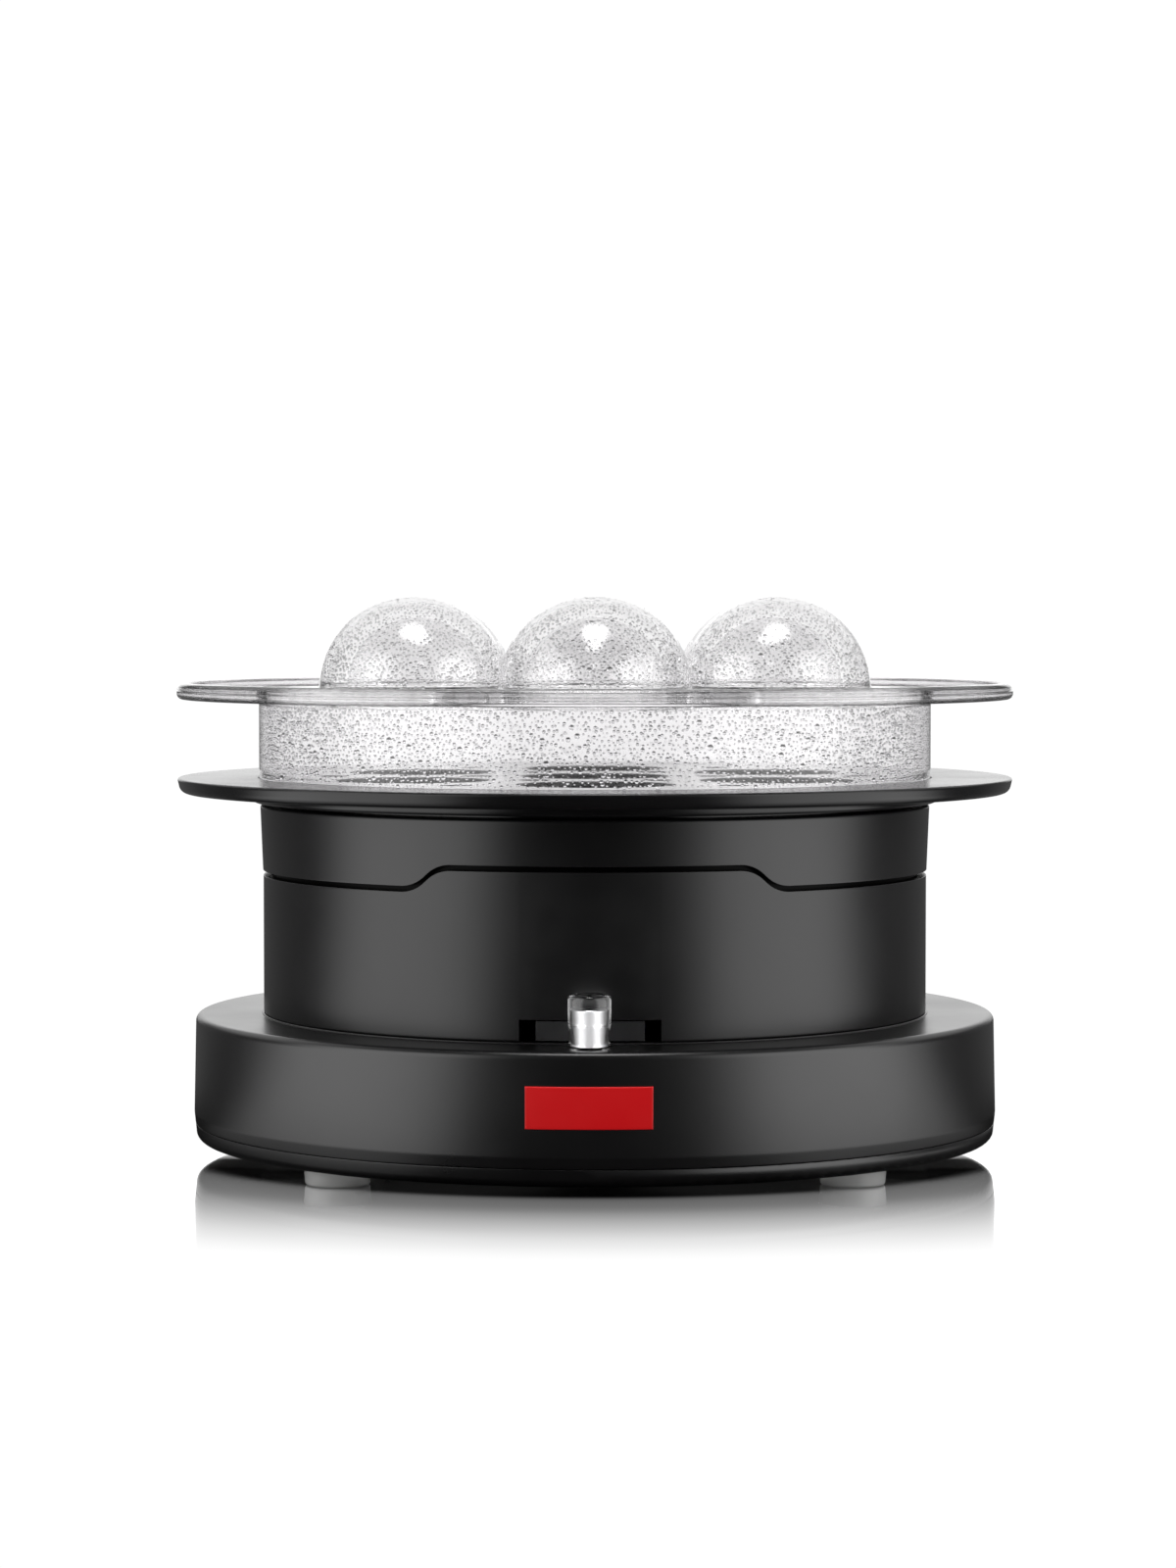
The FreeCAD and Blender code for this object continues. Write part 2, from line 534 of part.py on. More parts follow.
def bottom_plate():
    """Round bottom cover with a rounded edge, a locating spigot, air slots and holes for feet and screws."""
    floor_z = PLATE_BOTTOM_Z + PLATE_FLOOR
    inner = BASE_R - BASE_WALL - 0.3
    body = turned([
        (0, PLATE_BOTTOM_Z), (BASE_R - 0.8, PLATE_BOTTOM_Z, 2.5), (BASE_R - 0.35, PARTING_Z - 0.15, 0.15),
        (inner - 0.4, PARTING_Z - 0.15), (inner - 0.7, PARTING_Z + 2.6), (inner - 2.4, PARTING_Z + 2.6),
        (inner - 2.4, floor_z), (0, floor_z),
    ])
    feet = [rod_at(3.1, 5, 8, FOOT_RING_R, a) for a in FOOT_ANGLES.values()]
    screw_posts = [rod_at(4.4, PLATE_BOTTOM_Z, floor_z + 3.0, BASE_BOSS_R, a) for a in BASE_BOSS_ANGLES]
    body = joined(body, *screw_posts)
    screw_ways = [rod_at(1.8, 4, 12, BASE_BOSS_R, a) for a in BASE_BOSS_ANGLES]
    screw_sinks = [rod_at(3.4, 4, PLATE_BOTTOM_Z + 2.4, BASE_BOSS_R, a) for a in BASE_BOSS_ANGLES]
    slots = [block(-17 + abs(i) * 2, 17 - abs(i) * 2, 7 * i - 1.5, 7 * i + 1.5, 5, 8) for i in range(-3, 4)]
    bracket = [rod(1.2, 5, 8, x, -71.5) for x in (-10, 10)]
    return cut(body, *feet, *screw_ways, *screw_sinks, *slots, *bracket)


def foot(degrees):
    """Soft foot: a low disc with a rounded edge, and a mushroom stem that snaps through the bottom plate."""
    floor_z = PLATE_BOTTOM_Z + PLATE_FLOOR
    solid = turned([
        (0, 0), (FOOT_R - 0.5, 0, 0.9), (FOOT_R, PLATE_BOTTOM_Z, 0.2), (3.0, PLATE_BOTTOM_Z), (3.0, floor_z),
        (4.1, floor_z), (3.2, floor_z + 1.8, 0.4), (0, floor_z + 1.8),
    ])
    return solid.translated(polar(FOOT_RING_R, degrees))


def base_screws():
    spots = [polar(BASE_BOSS_R, a) for a in BASE_BOSS_ANGLES]
    low = PLATE_BOTTOM_Z + 0.6
    return [screw(1.5, 3.1, low, PLATE_BOTTOM_Z + 2.4, 24.0, p.x, p.y) for p in spots]


def body_screws():
    """Six screws up through the ledge into the lower housing."""
    spots = [polar(BODY_SCREW_R, a) for a in BODY_SCREW_ANGLES]
    deck_low = DECK_Z - BASE_WALL
    return [screw(1.5, 3.0, deck_low - 2.0, deck_low, 48.0, p.x, p.y) for p in spots]


def cord_gland():
    """Round bush in the rear wall, bored for the mains lead."""
    body = joined(
        rod_y(GLAND_NECK_R, 112.0, 119.0, 0, GLAND_Z),
        rod_y(7.4, BASE_R + 0.05, 120.6, 0, GLAND_Z),
        rod_y(7.0, 110.0, 112.8, 0, GLAND_Z),
    )
    around = turned([(BASE_R - BASE_WALL - 0.05, 12), (BASE_R + 0.05, 12), (BASE_R + 0.05, 34),
                     (BASE_R - BASE_WALL - 0.05, 34)])
    squeezed = cut(around, rod_y(GLAND_NECK_R, 100, 130, 0, GLAND_Z))
    return cut(body, squeezed, rod_y(GLAND_BORE_R, 100, 130, 0, GLAND_Z))


def badge():
    """Plain red plate let into the front of the base."""
    return sector(BADGE_BACK_R, BASE_R, BADGE_LOW_Z, BADGE_HIGH_Z, BADGE_DEG, BADGE_HALF_DEG)


# ---------------------------------------------------------------- switch
KNOB_Y = -107.3
KNOB_R = 5.85
KNOB_LOW_Z = 42.4
KNOB_TOP_Z = 56.4
KNOB_CAVITY_R = 3.5
KNOB_CAVITY_Z = 52.5
CARRIAGE_HALF_DEG = 8.85
ARM_LOW_Z = 43.4
ARM_TOP_Z = 46.4


def switch_knob():
    """Clear knob: round, a little narrower below, hollow from below, with a slot at the back for the arm."""
    solid = turned([
        (KNOB_CAVITY_R, KNOB_LOW_Z, 0.3), (KNOB_R - 0.25, KNOB_LOW_Z, 0.3), (KNOB_R - 0.25, 47.8, 1.0),
        (KNOB_R, 48.3, 1.0), (KNOB_R, KNOB_TOP_Z, 1.3), (0, KNOB_TOP_Z), (0, KNOB_CAVITY_Z),
        (KNOB_CAVITY_R, KNOB_CAVITY_Z, 0.6),
    ]).translated(Vector(0, KNOB_Y, 0))
    solid = cut(solid, block(-2.8, 2.8, KNOB_Y, KNOB_Y + 8, KNOB_LOW_Z - 1, ARM_TOP_Z + 0.2))
    solid.rotate(ORIGIN, UP, SWITCH_TURN)
    return solid


def switch_carriage():
    """Curved slide behind the notch, with the arm and peg that carry the knob and a finger down to the switch."""
    slide = sector(93.6, 96.5, 42.6, 47.9, -90, CARRIAGE_HALF_DEG)
    arm = block(-2.6, 2.6, KNOB_Y, -95.0, ARM_LOW_Z, ARM_TOP_Z)
    peg = rod(3.1, 42.5, ARM_TOP_Z + 0.6, 0, KNOB_Y)
    fin = block(-0.5, 0.5, KNOB_Y - 2.6, KNOB_Y + 2.6, ARM_TOP_Z, KNOB_CAVITY_Z)
    front = joined(slide, arm, peg, fin)
    front.rotate(ORIGIN, UP, SWITCH_TURN)
    back = block(-2.0, 2.0, -94.2, -85.5, ARM_LOW_Z, ARM_TOP_Z)
    finger = block(-2.0, 2.0, -88.5, -85.5, 35.0, ARM_TOP_Z)
    return joined(front, back, finger)


def switch_slider():
    """The switch's own slider, a fork round the carriage's finger."""
    plate = block(-4.4, 4.4, -90.0, -84.0, 33.7, 34.9)
    prongs = [block(x, x + 2.2, -90.0, -84.0, 33.7, 38.0) for x in (-4.4, 2.2)]
    return joined(plate, *prongs)


def switch_body():
    """Moulded switch housing with a shallow channel for the slider."""
    body = block(-13, 13, -92.5, -78.2, 18, 36.0)
    channel = block(-9.5, 9.5, -91.5, -83.0, 33.5, 37)
    return cut(body, channel)


def switch_blades():
    return [block(x0, x0 + 5.0, -88.4, -82.6, 21.6, 22.4) for x0 in (-18, 13)]


def detent_spring():
    """Thin bowed leaf in the switch, that clicks the slider into its three places."""
    bow = [(-8.6, -83.05), (0, -83.45), (8.6, -83.05)]
    outer = Part.Arc(*[Vector(x, y, 33.6) for x, y in bow]).toShape()
    inner = Part.Arc(*[Vector(x, y + 0.35, 33.6) for x, y in reversed(bow)]).toShape()
    ends = [Part.makeLine(outer.Vertexes[-1].Point, inner.Vertexes[0].Point),
            Part.makeLine(inner.Vertexes[-1].Point, outer.Vertexes[0].Point)]
    leaf = Part.Face(Part.Wire([outer, ends[0], inner, ends[1]])).extrude(Vector(0, 0, 2.2))
    return leaf.common(block(-9.4, 9.4, -84.5, -83.01, 33, 37))


def switch_bracket():
    """Bent steel bracket: foot on the bottom plate, upright behind the switch, narrow tongue for the lamp."""
    floor_z = PLATE_BOTTOM_Z + PLATE_FLOOR
    base = block(-15, 15, -78.2, -66.0, floor_z, floor_z + 1.2)
    upright = block(-15, 15, -78.2, -77.0, floor_z, 34.0)
    tongue = block(-4.0, 4.0, -78.2, -77.0, 34.0, 42.4)
    return cut(joined(base, upright, tongue), *[rod(1.2, 5, 12, x, -71.5) for x in (-10, 10)])


def bracket_screws():
    floor_z = PLATE_BOTTOM_Z + PLATE_FLOOR
    return [screw(1.2, 2.4, floor_z + 1.2, floor_z + 2.8, PLATE_BOTTOM_Z + 0.2, x, -71.5) for x in (-10, 10)]


LAMP_Z = 44.8


def lamp_holder():
    """Small moulded ring on the bracket's tongue."""
    body = joined(rod_y(4.2, -80.0, -74.0, 0, LAMP_Z), block(-4.2, 4.2, -80.0, -78.2, 40.2, LAMP_Z),
                  block(-4.2, 4.2, -77.0, -74.0, 40.2, LAMP_Z))
    tongue = block(-4.0, 4.0, -78.2, -77.0, 34.0, 42.4)
    return cut(body, rod_y(2.4, -85, -70, 0, LAMP_Z), tongue)


def indicator_lamp():
    """Neon lamp lying behind the switch arm, with a rounded tip towards the knob."""
    tube = rod_y(2.4, -79.6, -70.5, 0, LAMP_Z)
    tip = Part.makeSphere(2.4, Vector(0, -79.6, LAMP_Z))
    return joined(tube, tip)


# ---------------------------------------------------------------- mains terminal block and leads
BLOCK_LOW_Z = PLATE_BOTTOM_Z + PLATE_FLOOR
BLOCK_TOP_Z = BLOCK_LOW_Z + 12.0
TERMINAL_X = [-10.0, 0.0, 10.0]
LEAD_R = 1.2


def terminal_block():
    """Three-way terminal block on the bottom plate in front of the cord gland."""
    body = block(-16, 16, 60, 76, BLOCK_LOW_Z, BLOCK_TOP_Z)
    wells = [rod(2.4, BLOCK_TOP_Z - 3, BLOCK_TOP_Z + 1, x, y) for x in TERMINAL_X for y in (64, 72)]
    threads = [rod(1.4, 14, BLOCK_TOP_Z, x, y) for x in TERMINAL_X for y in (64, 72)]
    ways = [rod_y(1.7, 59, 77, x, 14.0) for x in TERMINAL_X]
    return cut(body, *wells, *threads, *ways)


def terminal_screws():
    """Six clamp screws in the block's wells."""
    return [screw(1.4, 2.0, BLOCK_TOP_Z - 3, BLOCK_TOP_Z - 1.6, BLOCK_TOP_Z - 4.6, x, y)
            for x in TERMINAL_X for y in (64, 72)]


def lead(points):
    """A round wire along straight runs joined by arcs as large as the runs allow."""
    points = [Vector(*p) for p in points]
    edges = []
    last = points[0]
    radii = []
    for before, here, after in zip(points, points[1:], points[2:]):
        back = before - here
        on = after - here
        run = min(back.Length, on.Length)
        half = back.getAngle(on) / 2
        reach = 0.45 * run
        radius = reach * math.tan(half)
        radii.append(radius)
        back.normalize()
        on.normalize()
        bisector = back + on
        bisector.normalize()
        centre = here + bisector * (radius / math.sin(half))
        first, middle, end = here + back * reach, centre - bisector * radius, here + on * reach
        edges.append(Part.makeLine(last, first))
        edges.append(Part.Arc(first, middle, end).toShape())
        last = end
    edges.append(Part.makeLine(last, points[-1]))
    path = Part.Wire(edges)
    section = Part.Wire(Part.Circle(points[0], points[1] - points[0], LEAD_R).toShape())
    solid = path.makePipeShell([section], True, True)
    share = solid.Volume / (math.pi * LEAD_R ** 2 * path.Length)
    print("lead %.0f mm, smallest radius %.1f mm, volume share %.4f" % (path.Length, min(radii), share))
    return solid


def leads():
    """Each wire's route, by node name. They lie on the bottom plate and rise to their terminals."""
    heater_a, heater_b = element_end(-1), element_end(1)
    low = BLOCK_LOW_Z + 2.0
    return {
        "lead_live": [(-10, 60, 14.0), (-11, 44, low + 1), (-30, 22, low), (-36, -14, low), (-34, -48, low + 1),
                      (-30, -72, 16), (-25, -85.5, 22), (-18, -85.5, 22)],
        "lead_switched": [(18, -85.5, 22), (25, -85.5, 22), (30, -70, 18), (28, -44, 15), (19, -22, 22),
                          (8.5, -12, 33), (4.2, 0, 39), (4.2, 0, 46.5)],
        "lead_thermostat": [(-4.2, 0, 46.5), (-4.2, 0, 40), (-9, 12, 33), (-22, 24, 29), (-25, 37, 31),
                            (heater_a.x, heater_a.y, 34.5), (heater_a.x, heater_a.y, 40.0)],
        "lead_neutral": [(10, 60, 14.0), (10.5, 48, 15), (20, 40, 20), (24, 41, 28),
                         (heater_b.x, heater_b.y, 34), (heater_b.x, heater_b.y, 40.0)],
        "lead_earth": [(0, 60, 14.0), (0.5, 46, 14), (4, 30, 18), (-2, 10, 26), (0.5, -12, 34),
                       (0, -27, 38.5), (0, -27, 45.3)],
    }


# ---------------------------------------------------------------- assembly
def parts():
    """Every sub-part by node name. A list is a group of separate solids."""
    made = {
        "lid": lid(), "egg_tray": egg_tray(),
        "upper_housing": upper_housing(), "lower_housing": lower_housing(), "tie_screws": tie_screws(),
        "boiling_pan": boiling_pan(), "pan_seal": pan_seal(), "heater_plate": heater_plate(),
        "heating_element": heating_element(), "element_terminals": element_terminals(),
        "heat_shield": heat_shield(), "pan_studs": pan_studs(), "stud_nuts": stud_nuts(),
        "thermostat": thermostat(), "thermostat_blades": thermostat_blades(),
        "thermal_fuse": thermal_fuse(), "fuse_clip": fuse_clip(),
        "base_shell": base_shell(), "bottom_plate": bottom_plate(), "base_screws": base_screws(),
        "body_screws": body_screws(), "cord_gland": cord_gland(), "badge": badge(),
        "switch_knob": switch_knob(), "switch_carriage": switch_carriage(), "switch_slider": switch_slider(),
        "switch_body": switch_body(), "switch_blades": switch_blades(), "detent_spring": detent_spring(),
        "switch_bracket": switch_bracket(), "bracket_screws": bracket_screws(),
        "lamp_holder": lamp_holder(), "indicator_lamp": indicator_lamp(),
        "terminal_block": terminal_block(), "terminal_screws": terminal_screws(),
    }
    for place, degrees in FOOT_ANGLES.items():
        made["foot_" + place] = foot(degrees)
    for name, route in leads().items():
        made[name] = lead(route)
    return made


def build():
    os.makedirs("parts", exist_ok=True)
    for name, shape in parts().items():
        solids = shape if isinstance(shape, list) else [shape]
        solids = [s.Solids[0] if len(s.Solids) == 1 else s for s in solids]
        whole = Part.makeCompound(solids) if len(solids) > 1 else solids[0]
        print("%-20s solids %2d valid %s volume %9.1f" % (name, len(whole.Solids), whole.isValid(), whole.Volume))
        whole.exportStep("parts/%s.step" % name)


build()
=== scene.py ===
"""Egg cooker: finished surfaces, materials, light and camera around the fixed design model.

Lengths in the shape functions are millimetres in the model's own frame (+Z up, front towards -Y);
solid() turns them into metres. Every solid is a set of grids joined edge to edge.
"""

import math
import bmesh
import bpy
import numpy as np
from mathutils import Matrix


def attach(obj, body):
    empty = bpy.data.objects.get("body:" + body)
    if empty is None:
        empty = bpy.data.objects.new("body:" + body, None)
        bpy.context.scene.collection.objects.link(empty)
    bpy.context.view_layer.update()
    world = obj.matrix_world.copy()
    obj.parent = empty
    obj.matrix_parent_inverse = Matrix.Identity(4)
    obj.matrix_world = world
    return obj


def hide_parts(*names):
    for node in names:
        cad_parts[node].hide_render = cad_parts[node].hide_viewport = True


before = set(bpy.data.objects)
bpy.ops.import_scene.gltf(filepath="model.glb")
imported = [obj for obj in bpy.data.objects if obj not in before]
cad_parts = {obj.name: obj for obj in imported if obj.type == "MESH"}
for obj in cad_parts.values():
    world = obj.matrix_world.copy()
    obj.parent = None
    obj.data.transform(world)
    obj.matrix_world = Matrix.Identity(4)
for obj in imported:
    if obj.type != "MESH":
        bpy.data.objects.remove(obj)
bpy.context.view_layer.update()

RIM_R = 122.5
BASE_R = 117.8
DECK_Z = 41.75
DRUM_R = 97.4
DRUM_IN_R = 94.9
NOTCH_TOP_Z = 48.3
SWITCH_TURN = math.radians(-0.85)
KNOB_OUT = 107.3
FEET_OUT = 101.3
PAN_RIM_Z = 92.3
TRAY_Z = 110.9
SKIRT_FOOT_Z = 110.2
PLATE_Z = 137.2
PLATE_LOW_Z = 135.2
DOME_R = 27.1
DOME_IN_R = 25.1
SKIRT_R = 98.6
SKIRT_IN_R = 96.6
EGG_RING_R = 60.1
EGG_TURNS = [math.radians(a) for a in range(30, 390, 60)]
EGG_SPOTS = np.array([[0.0, 0.0]] + [[EGG_RING_R * math.cos(a), EGG_RING_R * math.sin(a)] for a in EGG_TURNS])
DROP_SPACING = 1.44
ROW_STEP = 0.866


# ------------------------------------------------------------------ shapes

def outline(corners, steps=6):
    """Points along a run of corners (radius, height, rounding), first to last.

    A rounded corner becomes an arc tangent to both its sides: the directions from the arc's centre turn
    evenly from one side's normal to the other's. One more point on each side keeps the flat beside it flat."""
    corners = [np.array(tuple(c) + (0.0,) * (3 - len(c))) for c in corners]
    points = [corners[0][None, :2]]
    for before, here, after in zip(corners, corners[1:], corners[2:]):
        if here[2] <= 0:
            points.append(here[None, :2])
            continue
        back, on = before[:2] - here[:2], after[:2] - here[:2]
        room_back, room_on = np.linalg.norm(back), np.linalg.norm(on)
        back, on = back / room_back, on / room_on
        half = 0.5 * math.acos(np.clip(back @ on, -1, 1))
        reach = here[2] / math.tan(half)
        middle = (back + on) / np.linalg.norm(back + on)
        centre = here[:2] + middle * here[2] / math.sin(half)
        first = (here[:2] + back * reach - centre) / here[2]
        last = (here[:2] + on * reach - centre) / here[2]
        turn = math.pi - 2 * half
        k = np.linspace(0, 1, steps + 1)[:, None]
        arc = centre + here[2] * (np.sin(turn * (1 - k)) * first + np.sin(turn * k) * last) / math.sin(turn)
        ease_back = reach + min(0.35, 0.3 * max(room_back - reach, 0))
        ease_on = reach + min(0.35, 0.3 * max(room_on - reach, 0))
        points += [(here[:2] + back * ease_back)[None], arc, (here[:2] + on * ease_on)[None]]
    points.append(corners[-1][None, :2])
    return np.concatenate(points)


def ring_outline(corners, steps=6):
    """A closed outline: the run of corners carried once round and back to the middle of its last side."""
    last, first = np.array(corners[-1][:2], float), np.array(corners[0][:2], float)
    middle = tuple((last + first) / 2)
    return outline([middle] + list(corners) + [middle], steps)[:-1]


def grid_faces(rows, columns, close_rows, close_columns):
    """Quads between neighbours of a grid of points numbered row by row."""
    i, j = np.meshgrid(np.arange(rows if close_rows else rows - 1),
                       np.arange(columns if close_columns else columns - 1), indexing="ij")
    i, j = i.ravel(), j.ravel()
    i2, j2 = (i + 1) % rows, (j + 1) % columns
    return np.stack([i * columns + j, i * columns + j2, i2 * columns + j2, i2 * columns + j], 1)


def turned(profile, turns=256, closed=False, centre=(0.0, 0.0)):
    """A profile of (radius, height) carried round an upright axis through the centre."""
    angles = np.linspace(0, 2 * math.pi, turns, endpoint=False)
    r, z = profile[:, :1], profile[:, 1:2]
    points = np.stack([centre[0] + r * np.cos(angles), centre[1] + r * np.sin(angles),
                       np.broadcast_to(z, (len(profile), len(angles)))], -1)
    return points.reshape(-1, 3), grid_faces(len(profile), len(angles), closed, True)


def shade(mesh, sharp):
    """Smooth shading, but for edges sharper than that many degrees."""
    mesh.shade_smooth()
    mesh.set_sharp_from_angle(angle=math.radians(sharp))


def solid(name, grids, finish, body, stands_for, planes=()):
    """One piece from several grids: coinciding points are joined, open circles lying in each height of planes
    are filled in as one flat plate with holes, and every face is turned outwards."""
    counts = np.cumsum([0] + [len(p) for p, _ in grids])
    points = np.concatenate([p for p, _ in grids]) * 0.001
    faces = np.concatenate([f + c for (_, f), c in zip(grids, counts)])
    mesh = bpy.data.meshes.new(name)
    mesh.from_pydata(points.tolist(), [], faces.tolist())
    work = bmesh.new()
    work.from_mesh(mesh)
    bmesh.ops.remove_doubles(work, verts=work.verts, dist=2e-6)
    bmesh.ops.dissolve_degenerate(work, dist=1e-6, edges=work.edges)
    for height in planes:
        rim = [e for e in work.edges
               if e.is_boundary and all(abs(v.co.z - height * 0.001) < 2e-6 for v in e.verts)]
        bmesh.ops.triangle_fill(work, use_beauty=True, edges=rim)
    bmesh.ops.recalc_face_normals(work, faces=work.faces)
    work.to_mesh(mesh)
    work.free()
    shade(mesh, 38)
    return place(name, mesh, finish, body, stands_for)


def place(name, mesh, finish, body, stands_for=()):
    """Puts a finished mesh in the scene, gives it its material and slot, and lets it ride on its body."""
    piece = bpy.data.objects.new(name, mesh)
    bpy.context.scene.collection.objects.link(piece)
    mesh.materials.clear()
    mesh.materials.append(finish)
    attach(piece, body)
    if stands_for:
        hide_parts(*stands_for)
    return piece


def smoothed_copy(node, finish, body):
    """The node's own shape with its loose triangles joined, so that its curved faces shade smoothly."""
    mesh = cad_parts[node].data.copy()
    work = bmesh.new()
    work.from_mesh(mesh)
    bmesh.ops.remove_doubles(work, verts=work.verts, dist=2e-6)
    bmesh.ops.dissolve_degenerate(work, dist=1e-7, edges=work.edges)
    bmesh.ops.recalc_face_normals(work, faces=work.faces)
    work.to_mesh(mesh)
    work.free()
    mesh.name = node + "_finished"
    shade(mesh, 30)
    return place(node + "_finished", mesh, finish, body, (node,))


# ------------------------------------------------------------------ shader nodes and shared groups

def fill(tree, node, **links):
    """Sets a node's inputs. Each link is a socket's name (spaces as _), or i and its number, with a value or
    with the output that is joined to it."""
    for key, value in links.items():
        numbered = key[0] == "i" and key[1:].isdigit()
        socket = node.inputs[int(key[1:])] if numbered else node.inputs[key.replace("_", " ")]
        if isinstance(value, bpy.types.NodeSocket):
            tree.links.new(value, socket)
        else:
            socket.default_value = value


def add(tree, kind, settings=None, **links):
    """A new node with its settings and inputs."""
    node = tree.nodes.new(kind)
    for key, value in (settings or {}).items():
        setattr(node, key, value)
    fill(tree, node, **links)
    return node


def placed(tree, group_tree, **values):
    """A node that stands for a shared group."""
    return add(tree, "ShaderNodeGroup", {"node_tree": group_tree}, **values)


def group(name, inputs, outputs):
    """A shader node group with those sockets, and its input and output nodes."""
    tree = bpy.data.node_groups.new(name, "ShaderNodeTree")
    kinds = {"float": "NodeSocketFloat", "vector": "NodeSocketVector"}
    for label, kind, value in inputs:
        tree.interface.new_socket(label, in_out="INPUT", socket_type=kinds[kind]).default_value = value
    for label in outputs:
        tree.interface.new_socket(label, in_out="OUTPUT", socket_type=kinds["float"])
    return tree, tree.nodes.new("NodeGroupInput"), tree.nodes.new("NodeGroupOutput")


def maths(tree, operation, a, b=0.0):
    return add(tree, "ShaderNodeMath", {"operation": operation}, i0=a, i1=b).outputs[0]


def mapped(tree, value, from_low, from_high, to_low, to_high, curve="LINEAR"):
    """A value's range carried over to another range, and held at its ends."""
    return add(tree, "ShaderNodeMapRange", {"clamp": True, "interpolation_type": curve}, Value=value,
               From_Min=from_low, From_Max=from_high, To_Min=to_low, To_Max=to_high).outputs[0]


def blend_colours(tree, factor, first, second):
    return add(tree, "ShaderNodeMix", {"data_type": "RGBA"}, i0=factor, i6=first, i7=second).outputs[2]


def either(tree, choice, otherwise, chosen):
    """One number where the choice is 0 and the other where it is 1."""
    return add(tree, "ShaderNodeMix", {"data_type": "FLOAT"}, i0=choice, i2=otherwise, i3=chosen).outputs[0]


def own_place(tree):
    return add(tree, "ShaderNodeTexCoord").outputs["Object"]


def noise(tree, place_on, scale, detail, roughness=0.5):
    return add(tree, "ShaderNodeTexNoise", Vector=place_on, Scale=scale, Detail=detail,
               Roughness=roughness).outputs[0]


def relief(tree, height, strength, distance=0.0001):
    """A normal that stands the height up as bumps."""
    return add(tree, "ShaderNodeBump", Height=height, Strength=strength, Distance=distance).outputs[0]


def from_axis(tree, place_on):
    """Distance from the object's upright axis, and the separate coordinates."""
    spot = add(tree, "ShaderNodeSeparateXYZ", Vector=place_on)
    squares = [maths(tree, "MULTIPLY", spot.outputs[i], spot.outputs[i]) for i in (0, 1)]
    return maths(tree, "SQRT", maths(tree, "ADD", *squares)), spot


def moulded_grain():
    """Spark-eroded satin grain: two kinds of fine grain as height, and a slow cloud for gloss and tone."""
    tree, given, out = group("moulded_grain", [("Grain per metre", "float", 2600.0),
                                               ("Cloud per metre", "float", 22.0)], ["Height", "Cloud"])
    place_on = own_place(tree)
    fine = noise(tree, place_on, given.outputs[0], 3.0, 0.6)
    cells = add(tree, "ShaderNodeTexVoronoi", Vector=place_on, Scale=given.outputs[0]).outputs[0]
    height = maths(tree, "ADD", maths(tree, "MULTIPLY", fine, 0.7), maths(tree, "MULTIPLY", cells, 0.4))
    fill(tree, out, Height=height, Cloud=noise(tree, place_on, given.outputs[1], 4.0, 0.55))
    return tree


def edge_wear_and_sheen():
    """How much a convex edge is lightened, as slight handling wear and a painted highlight: sharp convex
    places, broken up by noise.
    """
    tree, given, out = group("edge_wear_and_sheen", [("Amount", "float", 0.5)], ["Mask"])
    sharp = add(tree, "ShaderNodeNewGeometry").outputs["Pointiness"]
    edge = mapped(tree, sharp, 0.51, 0.56, 0.0, 1.0)
    broken = mapped(tree, noise(tree, own_place(tree), 90.0, 4.0), 0.4, 0.65, 0.2, 1.0)
    fill(tree, out, Mask=maths(tree, "MULTIPLY", maths(tree, "MULTIPLY", edge, broken), given.outputs[0]))
    return tree


def drawn_lines():
    """Fine parallel lines of rolled or drawn metal: noise stretched along one direction, with a slow stain."""
    tree, given, out = group("drawn_lines", [("Stretch", "vector", (60.0, 1800.0, 1800.0))],
                             ["Lines", "Stain"])
    place_on = own_place(tree)
    stretched = add(tree, "ShaderNodeVectorMath", {"operation": "MULTIPLY"}, i0=place_on, i1=given.outputs[0])
    fill(tree, out, Lines=noise(tree, stretched.outputs[0], 1.0, 3.0), Stain=noise(tree, place_on, 40.0, 5.0))
    return tree


GRAIN = moulded_grain()
EDGE_WEAR_AND_SHEEN = edge_wear_and_sheen()
LINES = drawn_lines()


# ------------------------------------------------------------------ materials

# Where a finish changes or painted shade starts, as a first and a last distance in metres.
WET_TO_DRY_R = (0.0952, 0.0958)
SEAM_SHADE_R = (0.0962, 0.0966)
SEAM_SHADE_Z = (0.0905, 0.0908)
SKIRT_TO_RIM_R = (0.0978, 0.0990)


def rgb(r, g, b):
    return (r, g, b, 1.0)


def new_material(name):
    """An empty material with one Principled shader on its output."""
    material = bpy.data.materials.new(name)
    material.use_nodes = True
    tree = material.node_tree
    tree.nodes.clear()
    shader = tree.nodes.new("ShaderNodeBsdfPrincipled")
    add(tree, "ShaderNodeOutputMaterial", i0=shader.outputs[0])
    return material, tree, shader


